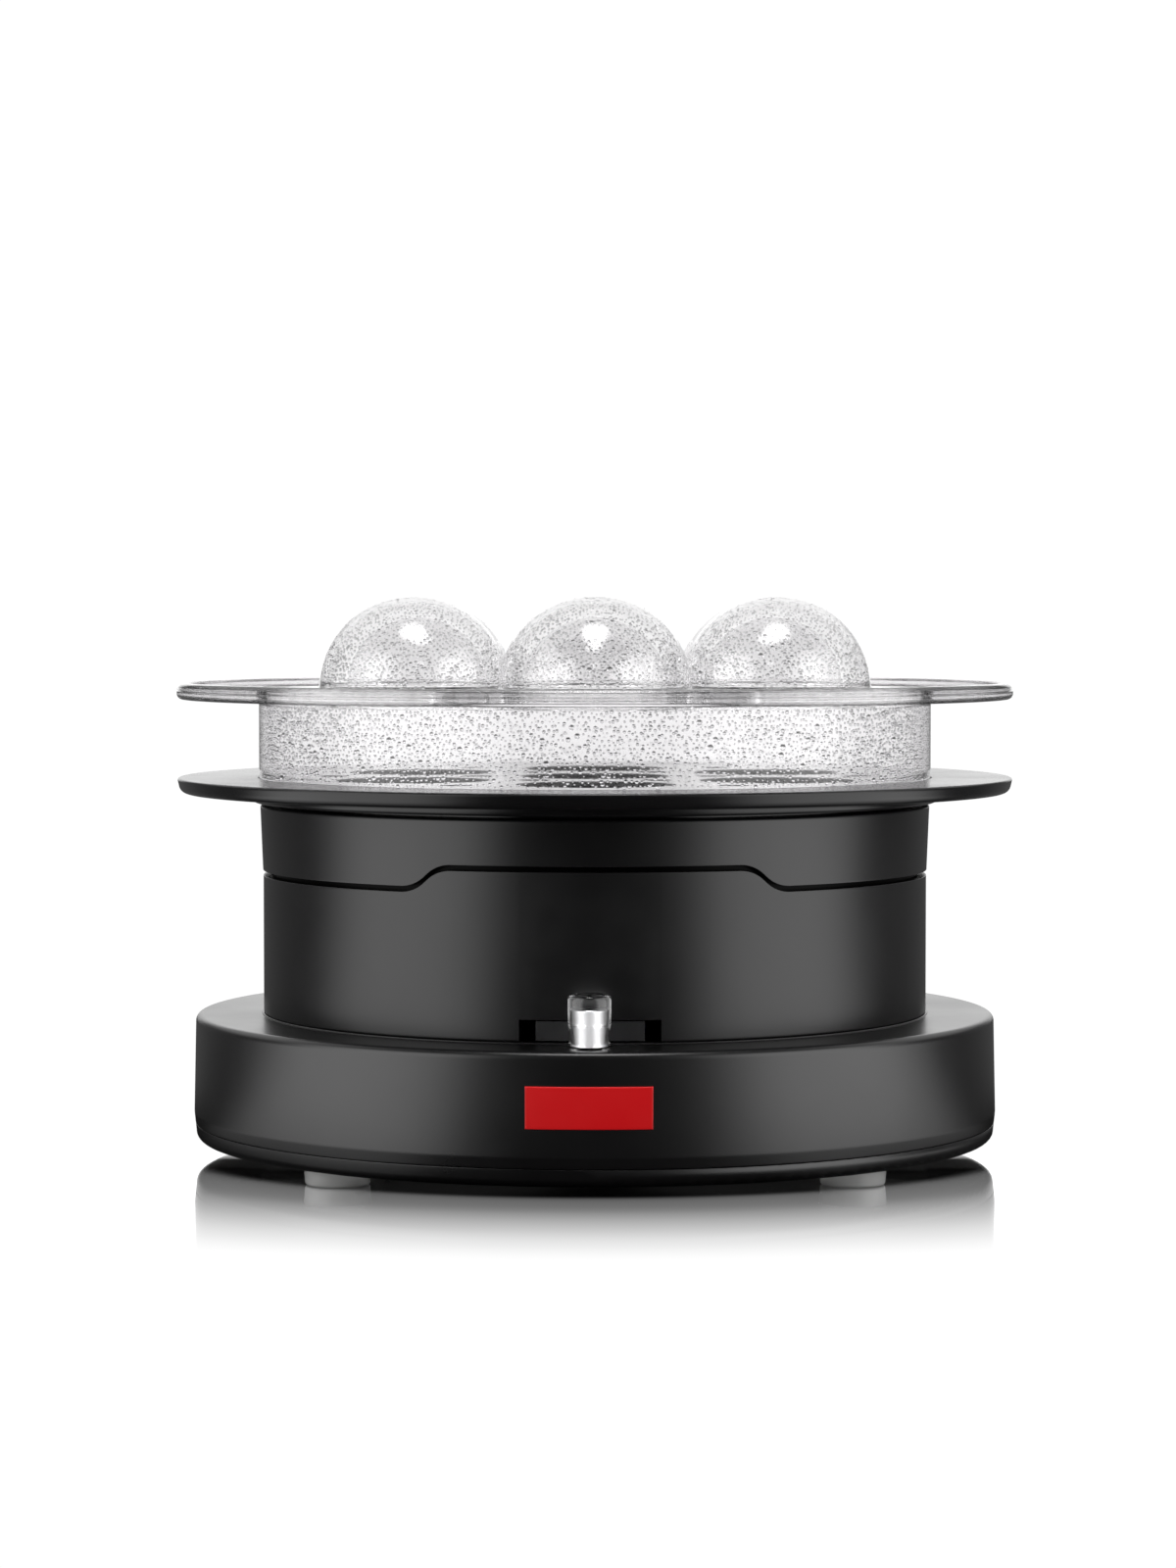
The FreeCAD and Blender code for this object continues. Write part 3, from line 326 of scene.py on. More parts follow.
def moulded_plastic(name, tone, light_tone, gloss_low, gloss_high, bump=0.1, grain=2600.0, specular=0.5,
                    painted_seam_shade=False, wet=False):
    """Satin moulded plastic: tone and gloss drift slowly, fine grain stands up as bump, edges are a little
    lighter, as slight wear and a painted highlight. With the seam shade turned on, the inner wall behind the
    seam is painted near-black with weak specular, painted shade for the seam's dark gap. With wet, a film of
    water under the lid makes everything inside its skirt glossier."""
    material, tree, shader = new_material(name)
    surface = placed(tree, GRAIN, Grain_per_metre=grain)
    cloud = surface.outputs["Cloud"]
    drift = blend_colours(tree, mapped(tree, cloud, 0.35, 0.65, 0.0, 1.0), tone, light_tone)
    # The lighter tone on convex edges is slight wear and a painted highlight.
    wear_and_sheen_tone = rgb(*[min(1.0, c * 2.2 + 0.01) for c in light_tone[:3]])
    colour = blend_colours(tree, placed(tree, EDGE_WEAR_AND_SHEEN, Amount=0.35).outputs[0], drift, wear_and_sheen_tone)
    gloss = mapped(tree, cloud, 0.3, 0.7, gloss_low, gloss_high)
    if wet or painted_seam_shade:
        out, spot = from_axis(tree, own_place(tree))
    if wet:
        gloss = maths(tree, "MULTIPLY", gloss, mapped(tree, out, *WET_TO_DRY_R, 0.42, 1.0))
    if painted_seam_shade:
        # Painted shade: the inner wall behind the seam is darkened to near-black and its specular lowered,
        # standing in for the shade in the seam's gap.
        deep = maths(tree, "MULTIPLY", mapped(tree, out, *SEAM_SHADE_R, 1.0, 0.0),
                     mapped(tree, spot.outputs[2], *SEAM_SHADE_Z, 1.0, 0.0))
        colour = blend_colours(tree, deep, colour, rgb(0.001, 0.001, 0.001))
        specular = mapped(tree, deep, 0.0, 1.0, specular, 0.04)
    fill(tree, shader, Base_Color=colour, Roughness=gloss, Specular_IOR_Level=specular,
         Normal=relief(tree, surface.outputs["Height"], bump))
    return material


def metal(name, tone, dark_tone, rough_low, rough_high, stretch, bump=0.08):
    """Bare metal with fine drawn lines and a slow stain."""
    material, tree, shader = new_material(name)
    surface = placed(tree, LINES, Stretch=stretch)
    stain = mapped(tree, surface.outputs["Stain"], 0.35, 0.7, 0.0, 1.0)
    fill(tree, shader, Base_Color=blend_colours(tree, stain, tone, dark_tone),
         Roughness=mapped(tree, surface.outputs["Lines"], 0.3, 0.7, rough_low, rough_high),
         Normal=relief(tree, surface.outputs["Lines"], bump), Metallic=1.0)
    return material


def clear_plastic(name, tint, cloudy_tint, rough_low, rough_high):
    """Clear moulding: full transmission, a slow haze in its gloss and tint, and a faint moulding ripple."""
    material, tree, shader = new_material(name)
    place_on = own_place(tree)
    haze = noise(tree, place_on, 60.0, 4.0)
    fill(tree, shader,
         Base_Color=blend_colours(tree, mapped(tree, haze, 0.35, 0.65, 0.0, 1.0), tint, cloudy_tint),
         Roughness=mapped(tree, haze, 0.35, 0.65, rough_low, rough_high),
         Normal=relief(tree, noise(tree, place_on, 120.0, 1.0), 0.02, 0.0005),
         Transmission_Weight=1.0, IOR=1.5)
    return material


def steamed_plastic():
    """The lid's clear plastic: bright on the domes and the skirt, softer out on the rim, clouded by a film of
    steam where its "mist" attribute is high, that is, on every face that looks into the cooker."""
    material, tree, shader = new_material("steamed_clear_plastic")
    place_on = own_place(tree)
    mist = add(tree, "ShaderNodeAttribute", {"attribute_name": "mist"}).outputs["Fac"]
    film = mapped(tree, noise(tree, place_on, 160.0, 5.0, 0.65), 0.3, 0.7, 0.55, 1.0)
    cloud = maths(tree, "MULTIPLY", mist, film)
    out, _ = from_axis(tree, place_on)
    rim = mapped(tree, out, *SKIRT_TO_RIM_R, 0.0, 1.0)
    clear = blend_colours(tree, rim, rgb(0.985, 0.98, 0.985), rgb(0.992, 0.975, 0.992))
    gloss = maths(tree, "ADD", mapped(tree, cloud, 0.0, 1.0, 0.01, 0.04), maths(tree, "MULTIPLY", rim, 0.05))
    fill(tree, shader, Base_Color=blend_colours(tree, cloud, clear, rgb(0.995, 0.995, 0.995)), Roughness=gloss,
         Normal=relief(tree, noise(tree, place_on, 70.0, 2.0), 0.02, 0.0003),
         Transmission_Weight=1.0, IOR=1.5)
    return material


def drop_water():
    """Clear water with a faint haze. A drop on an upright wall turns what is seen through it upside down, so
    its upper half, where its "upper" attribute is high, is painted grey: a painted image of the dark tray below
    it, standing in for the shade the drop shows."""
    material, tree, shader = new_material("water")
    haze = noise(tree, own_place(tree), 90.0, 2.0)
    upper = add(tree, "ShaderNodeAttribute", {"attribute_name": "upper"}).outputs["Fac"]
    pale = blend_colours(tree, mapped(tree, haze, 0.35, 0.65, 0.0, 1.0), rgb(1, 1, 1), rgb(0.96, 0.96, 0.97))
    # Painted shade: the upper half of each drop is painted grey, an image of the dark tray below.
    deep = mapped(tree, upper, 0.0, 0.5, 0.0, 1.0)
    fill(tree, shader, Base_Color=blend_colours(tree, deep, pale, rgb(0.45, 0.45, 0.455)),
         Roughness=mapped(tree, haze, 0.35, 0.65, 0.0, 0.02), Normal=relief(tree, haze, 0.02, 0.0002),
         Transmission_Weight=1.0, IOR=1.33)
    return material


def soft_foot():
    """Milky soft plastic: partly see-through, with a slow cloud and fine grain."""
    material, tree, shader = new_material("milky_foot")
    surface = placed(tree, GRAIN, Grain_per_metre=1500.0, Cloud_per_metre=120.0)
    cloud = surface.outputs["Cloud"]
    fill(tree, shader, Base_Color=blend_colours(tree, cloud, rgb(0.74, 0.74, 0.73), rgb(0.9, 0.9, 0.89)),
         Roughness=mapped(tree, cloud, 0.3, 0.7, 0.3, 0.42),
         Normal=relief(tree, surface.outputs["Height"], 0.1), Transmission_Weight=0.35,
         Subsurface_Weight=0.4, Subsurface_Radius=(0.004, 0.004, 0.004), IOR=1.42)
    return material


def badge_enamel():
    """Printed red plate: even red with a faint cloud, satin, with a very fine grain."""
    material, tree, shader = new_material("red_plate")
    surface = placed(tree, GRAIN, Grain_per_metre=3500.0, Cloud_per_metre=90.0)
    cloud = surface.outputs["Cloud"]
    fill(tree, shader, Base_Color=blend_colours(tree, cloud, rgb(0.80, 0.008, 0.012), rgb(0.84, 0.014, 0.016)),
         Roughness=mapped(tree, cloud, 0.3, 0.7, 0.34, 0.46),
         Normal=relief(tree, surface.outputs["Height"], 0.05), Specular_IOR_Level=0.3)
    return material


BLACK = rgb(0.0046, 0.0044, 0.0048)
PALER_BLACK = rgb(0.0062, 0.0060, 0.0064)
black = moulded_plastic("satin_black_plastic", BLACK, PALER_BLACK, 0.29, 0.35)
base_black = moulded_plastic("satin_black_base", BLACK, PALER_BLACK, 0.27, 0.33, specular=0.62)
# The drum and collar carry painted shade on the inner wall behind their seam.
drum_black = moulded_plastic("satin_black_drum", BLACK, PALER_BLACK, 0.29, 0.35, painted_seam_shade=True)
tray_black = moulded_plastic("satin_black_tray", rgb(0.0052, 0.0050, 0.0054), rgb(0.0078, 0.0076, 0.0080),
                             0.20, 0.26, bump=0.05, specular=0.34, wet=True)
steamed = steamed_plastic()
water = drop_water()
knob_clear = clear_plastic("clear_knob_plastic", rgb(0.99, 0.99, 0.99), rgb(0.95, 0.96, 0.97), 0.01, 0.05)
# Painted highlight: a bright metal lining inside the clear knob stands in for its bright refracted bands.
knob_highlight_lining = metal("bright_knob_lining", rgb(0.93, 0.93, 0.94), rgb(0.86, 0.86, 0.87), 0.26, 0.34,
                    (1.0, 1.0, 0.05), 0.02)
foot_milky = soft_foot()
red = badge_enamel()
carriage_grey = moulded_plastic("carriage_grey", rgb(0.018, 0.018, 0.019), rgb(0.026, 0.026, 0.027), 0.38, 0.5)
switch_dark = moulded_plastic("switch_plastic", rgb(0.03, 0.03, 0.032), rgb(0.05, 0.05, 0.052), 0.45, 0.6)
phenolic = moulded_plastic("brown_phenolic", rgb(0.05, 0.025, 0.015), rgb(0.09, 0.045, 0.025), 0.4, 0.55)
nylon = moulded_plastic("natural_nylon", rgb(0.62, 0.61, 0.55), rgb(0.74, 0.73, 0.68), 0.4, 0.55)
bead_white = moulded_plastic("ceramic_bead", rgb(0.7, 0.67, 0.6), rgb(0.82, 0.8, 0.74), 0.55, 0.7)
seal_grey = moulded_plastic("silicone_seal", rgb(0.42, 0.4, 0.36), rgb(0.55, 0.53, 0.48), 0.4, 0.55)
steel = metal("drawn_steel", rgb(0.62, 0.62, 0.62), rgb(0.45, 0.45, 0.46), 0.16, 0.34, (60, 1800, 1800))
plated = metal("zinc_plated_steel", rgb(0.6, 0.6, 0.58), rgb(0.42, 0.43, 0.42), 0.3, 0.5, (700, 700, 700))
spring_steel = metal("spring_strip", rgb(0.5, 0.5, 0.52), rgb(0.35, 0.35, 0.38), 0.2, 0.36, (60, 1800, 1800))
aluminium = metal("pressed_aluminium", rgb(0.75, 0.75, 0.76), rgb(0.6, 0.6, 0.61), 0.3, 0.48, (300, 900, 900))
sheath = metal("heat_tinted_sheath", rgb(0.22, 0.18, 0.15), rgb(0.12, 0.12, 0.17), 0.3, 0.5, (500, 500, 500))
brass = metal("plain_brass", rgb(0.7, 0.5, 0.24), rgb(0.5, 0.34, 0.14), 0.25, 0.42, (200, 1200, 1200))
wire_brown = moulded_plastic("brown_wire", rgb(0.1, 0.035, 0.012), rgb(0.14, 0.05, 0.02), 0.35, 0.5)
wire_blue = moulded_plastic("blue_wire", rgb(0.012, 0.05, 0.25), rgb(0.02, 0.08, 0.34), 0.35, 0.5)
wire_green = moulded_plastic("green_wire", rgb(0.05, 0.25, 0.03), rgb(0.09, 0.34, 0.05), 0.35, 0.5)
sleeving = moulded_plastic("woven_sleeving", rgb(0.55, 0.53, 0.45), rgb(0.72, 0.7, 0.62), 0.7, 0.85,
                           bump=0.5, grain=1600.0)
lamp_glass = clear_plastic("lamp_glass", rgb(1.0, 0.82, 0.66), rgb(1.0, 0.7, 0.5), 0.02, 0.08)


# ------------------------------------------------------------------ lid and its condensation

def lid_shell():
    """The lid: a rim-to-skirt outline turned round the middle, seven domes turned round their own axes, and
    flat plates between them above and below. A dome's outside is a quarter circle standing on a concave one."""
    edge = outline([
        (118.2, PLATE_Z), (119.5, PLATE_Z, 0.5), (119.5, 138.6, 0.7), (RIM_R, 138.6, 1.6), (RIM_R, 136.35),
        (RIM_R + 0.1, 136.2), (RIM_R, 136.05), (RIM_R, 133.8, 1.6), (119.5, 133.8, 0.5),
        (119.5, PLATE_LOW_Z, 0.5), (SKIRT_R, PLATE_LOW_Z, 1.0), (SKIRT_R, SKIRT_FOOT_Z, 0.5),
        (SKIRT_IN_R, SKIRT_FOOT_Z, 0.5), (SKIRT_IN_R, PLATE_LOW_Z, 3.0), (92.6, PLATE_LOW_Z)])
    grids = [turned(edge, 320)]
    foot = np.radians(np.linspace(270, 180, 6))[:, None]
    rise = np.radians(np.linspace(3.2, 90, 30))[:, None]
    root = np.concatenate([np.array([[29.0, PLATE_Z]]),
                           np.hstack([28.3 + 1.2 * np.cos(foot), PLATE_Z + 1.2 + 1.2 * np.sin(foot)])])
    outside = np.hstack([DOME_R * np.cos(rise), PLATE_Z + DOME_R * np.sin(rise)])
    fall = rise[::-1]
    inside = np.hstack([DOME_IN_R * np.cos(fall), PLATE_Z + DOME_IN_R * np.sin(fall)])
    mouth = outline([(DOME_IN_R, PLATE_Z), (DOME_IN_R, PLATE_LOW_Z, 0.4), (26.4, PLATE_LOW_Z)])
    whole = np.concatenate([root, outside, inside, mouth])
    vent = 2.0
    vented = np.concatenate([root, outside[outside[:, 0] > vent + 0.35],
                             [[vent + 0.25, PLATE_Z + DOME_R - 0.12], [vent, PLATE_Z + DOME_R - 0.4],
                              [vent, PLATE_Z + DOME_IN_R - 0.06]], inside[inside[:, 0] > vent], mouth])
    for spot, (x, y) in enumerate(EGG_SPOTS):
        if spot == 0:
            grids.append(turned(vented, 96, centre=(x, y)))
        else:
            cap = whole.copy()
            cap[np.isclose(cap[:, 0], 0, atol=1e-6), 0] = 0.0
            grids.append(turned(cap[:len(root) + len(outside)], 96, centre=(x, y)))
            grids.append(turned(cap[len(root) + len(outside):], 96, centre=(x, y)))
    mesh = solid("clear_lid", grids, steamed, "lid", ("lid",), planes=(PLATE_Z, PLATE_LOW_Z)).data
    co = np.empty(len(mesh.vertices) * 3)
    mesh.vertices.foreach_get("co", co)
    co = co.reshape(-1, 3) * 1000
    r = np.hypot(co[:, 0], co[:, 1])
    dome_middles = np.append(EGG_SPOTS, np.full((len(EGG_SPOTS), 1), PLATE_Z), 1)
    from_dome = np.min(np.linalg.norm(co[:, None, :] - dome_middles[None], axis=2), 1)
    within_skirt = (r < SKIRT_IN_R + 0.3) & (co[:, 2] < PLATE_LOW_Z + 0.2)
    inner = within_skirt | ((from_dome < DOME_IN_R + 0.3) & (r < 90))
    mist = mesh.attributes.new("mist", "FLOAT", "POINT")
    mist.data.foreach_set("value", inner.astype(float))


def drops(name, feet, normals, radii, rng):
    """Many small drops of water in one mesh. Each is a round cap on a six-sided foot: a ring sunk a little
    into the wall, two more on the way up and one point on top, with the foot closed by four triangles."""
    count = len(feet)
    normals = normals / np.linalg.norm(normals, axis=1, keepdims=True)
    side = np.cross(normals, np.where(np.abs(normals[:, 2:]) < 0.9, [[0.0, 0.0, 1.0]], [[1.0, 0.0, 0.0]]))
    side /= np.linalg.norm(side, axis=1, keepdims=True)
    other = np.cross(normals, side)
    start = rng.uniform(0, math.pi / 3, (count, 1))
    round_it = start + np.arange(6)[None] * math.pi / 3
    spoke = np.cos(round_it)[..., None] * side[:, None] + np.sin(round_it)[..., None] * other[:, None]
    a, up = radii[:, None, None], normals[:, None]
    rings = [feet[:, None] + a * spoke - 0.1 * up, feet[:, None] + 0.87 * a * spoke + 0.36 * a * up,
             feet[:, None] + 0.53 * a * spoke + 0.68 * a * up, feet[:, None] + 0.82 * a * up]
    points = np.concatenate(rings, 1).reshape(-1, 3)
    k, n = np.arange(6), (np.arange(6) + 1) % 6
    bands = [np.stack([k + c, n + c, n + c + 6, k + c, n + c + 6, k + c + 6], 1).reshape(-1, 3)
             for c in (0, 6)]
    lid_fan = np.stack([k + 12, n + 12, np.full(6, 18)], 1)
    foot_fan = np.stack([np.zeros(4, int), np.arange(2, 6), np.arange(1, 5)], 1)
    tris = np.concatenate(bands + [lid_fan, foot_fan])
    faces = (tris[None] + 19 * np.arange(count)[:, None, None]).reshape(-1, 3)
    # How high each point stands on its drop; the water paints the upper half grey as painted shade.
    uphill = np.array([[0.0, 0.0, 1.0]]) - normals[:, 2:] * normals
    upper = np.sum((np.concatenate(rings, 1) - feet[:, None]) * uphill[:, None], 2) / radii[:, None]
    mesh = bpy.data.meshes.new(name)
    mesh.vertices.add(len(points))
    mesh.vertices.foreach_set("co", (points * 0.001).astype(np.float32).ravel())
    mesh.loops.add(faces.size)
    mesh.loops.foreach_set("vertex_index", faces.astype(np.int32).ravel())
    mesh.polygons.add(len(faces))
    mesh.polygons.foreach_set("loop_start", (3 * np.arange(len(faces))).astype(np.int32))
    mesh.update(calc_edges=True)
    shade(mesh, 75)
    shares = mesh.attributes.new("upper", "FLOAT", "POINT")
    shares.data.foreach_set("value", upper.astype(np.float32).ravel())
    place(name, mesh, water, "lid")


def drop_sizes(count, spacing, rng):
    """Radii of drops: about a quarter of their spacing, with a natural spread, one in eighty grown large."""
    radii = np.clip(0.27 * spacing * np.exp(rng.normal(0, 0.28, count)), 0.13 * spacing, 0.45 * spacing)
    large = rng.random(count) < 1 / 80
    radii[large] = spacing * rng.uniform(0.5, 0.7, large.sum())
    return radii, large


def thinned(feet, radii, large):
    """Leaves out the small drops that a large one has swallowed."""
    keep = np.ones(len(feet), bool)
    for i in np.flatnonzero(large):
        near = np.linalg.norm(feet - feet[i], axis=1) < radii + radii[i]
        near[i] = False
        keep &= ~near | (radii > radii[i])
    return keep


def dome_drops(rng):
    """Drops along an even spiral inside each dome."""
    cell = ROW_STEP * DROP_SPACING ** 2
    golden = math.pi * (3 - math.sqrt(5))
    for spot, (x, y) in enumerate(EGG_SPOTS):
        count = int(2 * math.pi * DOME_IN_R ** 2 / cell)
        index = np.arange(count) + 0.5
        height = index / count
        turn = golden * index + rng.uniform(0, 6)
        height = np.clip(height + rng.normal(0, 0.16 * DROP_SPACING / DOME_IN_R, count), 0.0, 0.996)
        turn = turn + rng.normal(0, 0.16 * DROP_SPACING / DOME_IN_R, count)
        flat = np.sqrt(1 - height ** 2)
        out = np.stack([flat * np.cos(turn), flat * np.sin(turn), height], 1)
        feet = np.array([x, y, PLATE_Z]) + DOME_IN_R * out
        radii, large = drop_sizes(count, DROP_SPACING, rng)
        radii *= 1 - 0.4 * height ** 2
        off_vent = (np.hypot(feet[:, 0], feet[:, 1]) > 3.2) | (spot > 0)
        keep = thinned(feet, radii, large) & off_vent
        keep &= rng.random(count) < np.where(out[:, 1] > 0, 0.3, 1.0) * (1.0 if y < -10 else 0.3)
        drops("dome_drops_%d" % spot, feet[keep], -out[keep], radii[keep], rng)


def skirt_drops(rng):
    """Drops on a staggered lattice round the skirt, its rear half and its front half apart."""
    low, high = 111.8, 134.2
    rows = int((high - low) / (ROW_STEP * DROP_SPACING))
    across = int(2 * math.pi * SKIRT_IN_R / DROP_SPACING)
    i, j = np.meshgrid(np.arange(rows), np.arange(across), indexing="ij")
    shake = rng.normal(0, 0.2 * DROP_SPACING / SKIRT_IN_R, i.shape)
    turn = (j + 0.5 * (i % 2)) * 2 * math.pi / across + shake
    z = low + i * ROW_STEP * DROP_SPACING + rng.normal(0, 0.2 * DROP_SPACING, i.shape)
    turn, z = turn.ravel() % (2 * math.pi), np.clip(z.ravel(), 111.2, 132.0)
    out = np.stack([np.cos(turn), np.sin(turn), np.zeros_like(turn)], 1)
    feet = SKIRT_IN_R * out + z[:, None] * np.array([0, 0, 1.0])
    radii, large = drop_sizes(len(feet), DROP_SPACING, rng)
    keep = thinned(feet, radii, large) & (rng.random(len(feet)) < np.where(out[:, 1] > 0, 0.35, 1.0))
    for name, half in (("rear_skirt_drops", turn < math.pi), ("front_skirt_drops", turn >= math.pi)):
        chosen = keep & half
        drops(name, feet[chosen], -out[chosen], radii[chosen], rng)


def hanging_drops(rng):
    """A row of larger drops in the rounded corner where the plate meets the skirt."""
    corner_r, corner_z, bend = 93.6, 132.2, 3.0
    up = np.array([0, 0, 1.0])
    count = int(2 * math.pi * 95.6 / 2.1)
    turn = np.arange(count) * 2 * math.pi / count + rng.normal(0, 0.4 / 95, count)
    slope = np.radians(rng.uniform(35, 60, count))[:, None]
    out = np.stack([np.cos(turn), np.sin(turn), np.zeros_like(turn)], 1)
    feet = out * (corner_r + bend * np.cos(slope)) + up * (corner_z + bend * np.sin(slope))
    inwards = -out * np.cos(slope) - up * np.sin(slope)
    drops("hanging_drops", feet, inwards, rng.uniform(0.5, 0.85, count), rng)


def plate_drops(rng):
    """Wider spaced drops on a staggered lattice under the plate, between the domes."""
    wide = 2.2
    i, j = np.meshgrid(np.arange(-60, 61), np.arange(-60, 61), indexing="ij")
    x = (j + 0.5 * (i % 2)) * wide + rng.normal(0, 0.25 * wide, i.shape)
    y = i * ROW_STEP * wide + rng.normal(0, 0.25 * wide, i.shape)
    flat = np.stack([x.ravel(), y.ravel()], 1)
    near_dome = np.min(np.linalg.norm(flat[:, None] - EGG_SPOTS[None], axis=2), 1)
    flat = flat[(np.hypot(flat[:, 0], flat[:, 1]) < 92) & (near_dome > 26.3)]
    feet = np.hstack([flat, np.full((len(flat), 1), PLATE_LOW_Z)])
    radii, _ = drop_sizes(len(feet), wide, rng)
    drops("plate_drops", feet, np.tile([[0.0, 0.0, -1.0]], (len(feet), 1)), np.minimum(radii, 0.8), rng)


def condensation():
    """Drops on every inner face of the lid, all shaken a little out of their even places. Those on the domes
    and the skirt are thick on the cooler front and sparse at the back."""
    rng = np.random.default_rng(7)
    dome_drops(rng)
    skirt_drops(rng)
    hanging_drops(rng)
    plate_drops(rng)


# ------------------------------------------------------------------ tray, housings, base

def egg_tray():
    """The tray: flange, groove, lip and standing wall as one turned outline, seven tapered seats and twelve
    steam holes turned round their own axes, and the flat plate between them above and below."""
    low = TRAY_Z - 2.4
    edge = outline([
        (94.6, TRAY_Z), (96.2, TRAY_Z, 0.25), (96.2, SKIRT_FOOT_Z), (99.0, SKIRT_FOOT_Z), (99.0, TRAY_Z, 0.3),
        (RIM_R, TRAY_Z, 0.7), (121.5, 106.5, 2.4), (100.8, 106.5, 0.5), (100.8, 103.7, 1.3),
        (98.4, 103.7, 0.5), (98.4, low, 1.0), (92.4, low, 1.0), (92.4, PAN_RIM_Z, 0.4),
        (90.0, PAN_RIM_Z, 0.4), (90.0, low, 1.5), (87.4, low)])
    seat = outline([(24.9, TRAY_Z), (22.0, TRAY_Z, 0.8), (16.6, 95.0, 0.6), (18.4, 95.0, 0.6),
                    (23.8, low, 0.5), (25.0, low)])
    grids = [turned(edge, 320)] + [turned(seat, 96, centre=spot) for spot in EGG_SPOTS]
    for ring_r, hole_r in ((EGG_RING_R / math.sqrt(3), 4.5), (77.0, 4.0)):
        hole = outline([(hole_r + 0.9, TRAY_Z), (hole_r, TRAY_Z, 0.35), (hole_r, low, 0.35),
                        (hole_r + 0.9, low)], 3)
        for a in np.radians(np.arange(0, 360, 60)):
            grids.append(turned(hole, 36, centre=(ring_r * math.cos(a), ring_r * math.sin(a))))
    solid("black_egg_tray", grids, tray_black, "tray", ("egg_tray",), planes=(TRAY_Z, low))


def seam_rise(x):
    """How far the seam stands above its low level at that distance from the middle plane: nothing beyond the
    foot of the step, then an arc, a straight slope and an arc to the full rise, each tangent to the next."""
    foot_x, head_x, full, slope = 53.6, 39.6, 6.2, math.radians(43)
    run = foot_x - head_x
    bend = (run * math.sin(slope) - full * math.cos(slope)) / (2 - 2 * math.cos(slope))
    u = np.clip(foot_x - np.abs(x), 0, run)
    reach = bend * math.sin(slope)
    first = bend - np.sqrt(np.maximum(bend ** 2 - np.minimum(u, reach) ** 2, 0))
    last = full - (bend - np.sqrt(np.maximum(bend ** 2 - np.minimum(run - u, reach) ** 2, 0)))
    middle = bend * (1 - math.cos(slope)) + (u - reach) * math.tan(slope)
    return np.where(u < reach, first, np.where(u > run - reach, last, middle))


def housing_angles(extra=()):
    """Angles round the drum, close together where the seam steps up and down, from the front once round."""
    step = np.linspace(23.6, 33.8, 48)
    steps = np.radians(np.concatenate([step, -step])) - math.pi / 2
    even = np.linspace(-math.pi, math.pi, 288, endpoint=False) - math.pi / 2
    return np.unique(np.round(np.concatenate([even, steps, np.asarray(extra)]) % (2 * math.pi), 7))


def follow_seam(profile, lifts, angles):
    """A closed profile carried round the axis, each point lifted by its share of the seam's rise, but none
    where y is positive, that is, round the back."""
    r = profile[:, :1] * np.ones((1, len(angles)))
    x, y = r * np.cos(angles), r * np.sin(angles)
    z = profile[:, 1:2] + lifts[:, None] * np.where(y < 0, seam_rise(x), 0.0)
    return r, x, y, z


def upper_housing():
    """The collar: its lower outer edge follows the seam; inside are the spigot and the pan's ledge."""
    seam = 83.775
    profile = ring_outline([
        (92.2, 76.0, 0.4), (94.6, 76.0, 0.4), (94.6, seam), (97.52, seam, 0.2), (98.3, 102.8, 0.7),
        (94.8, 102.8, 0.5), (94.0, 90.5, 1.5), (84.0, 90.5, 0.4), (84.0, 88.0, 0.4), (92.2, 88.0, 1.0)], 5)
    lifts = ((profile[:, 0] > 94.55) & (profile[:, 1] < seam + 1.0)).astype(float)
    angles = housing_angles()
    _, x, y, z = follow_seam(profile, lifts, angles)
    points = np.stack([x, y, z], -1).reshape(-1, 3)
    faces = grid_faces(len(profile), len(angles), True, True)
    solid("collar", [(points, faces)], drum_black, "base", ("upper_housing",))


def lower_housing():
    """The drum: its top edge follows the seam. Between the notch's two ends, everything lower than the notch's
    top is lifted to it and everything further in than the wall is drawn out to it."""
    seam = 82.325
    profile = ring_outline([
        (84.0, 42.15, 0.3), (DRUM_R, 42.15, 0.5), (DRUM_R, seam, 0.2), (DRUM_IN_R, seam, 0.2),
        (DRUM_IN_R, 44.65, 1.0), (84.0, 44.65, 0.3)], 5)
    lifts = (profile[:, 1] > seam - 1.0).astype(float)
    end = math.asin(19.4 / DRUM_R)
    front = SWITCH_TURN - math.pi / 2
    cuts = [front + side * (end + nudge) for side in (-1, 1) for nudge in (-2e-5, 2e-5)]
    angles = housing_angles(cuts)
    r, _, _, z = follow_seam(profile, lifts, angles)
    from_front = np.abs((angles - front + math.pi) % (2 * math.pi) - math.pi)
    open_here = (from_front < end)[None, :] & (z < NOTCH_TOP_Z)
    r = np.where(open_here, np.maximum(r, DRUM_IN_R), r)
    z = np.where(open_here, NOTCH_TOP_Z, z)
    points = np.stack([r * np.cos(angles), r * np.sin(angles), z], -1).reshape(-1, 3)
    faces = grid_faces(len(profile), len(angles), True, True)
    solid("drum", [(points, faces)], drum_black, "base", ("lower_housing",))


def base_shell():
    """The wide base: side wall, rounded upper edge, ledge and the low collar that the drum stands on."""
    profile = ring_outline([
        (114.6, 10.3, 0.1), (117.5, 10.3, 0.15), (BASE_R, 13.3, 6.0), (117.2, DECK_Z, 2.0),
        (97.9, DECK_Z, 0.1), (97.9, 42.1, 0.25), (95.2, 42.1, 0.1), (95.2, DECK_Z), (84.0, DECK_Z),
        (84.0, 39.15), (114.5, 39.15, 2.0), (115.2, 14.3, 6.0)], 8)
    solid("base_cover", [turned(profile, 320, closed=True)], base_black, "base", ("base_shell",))


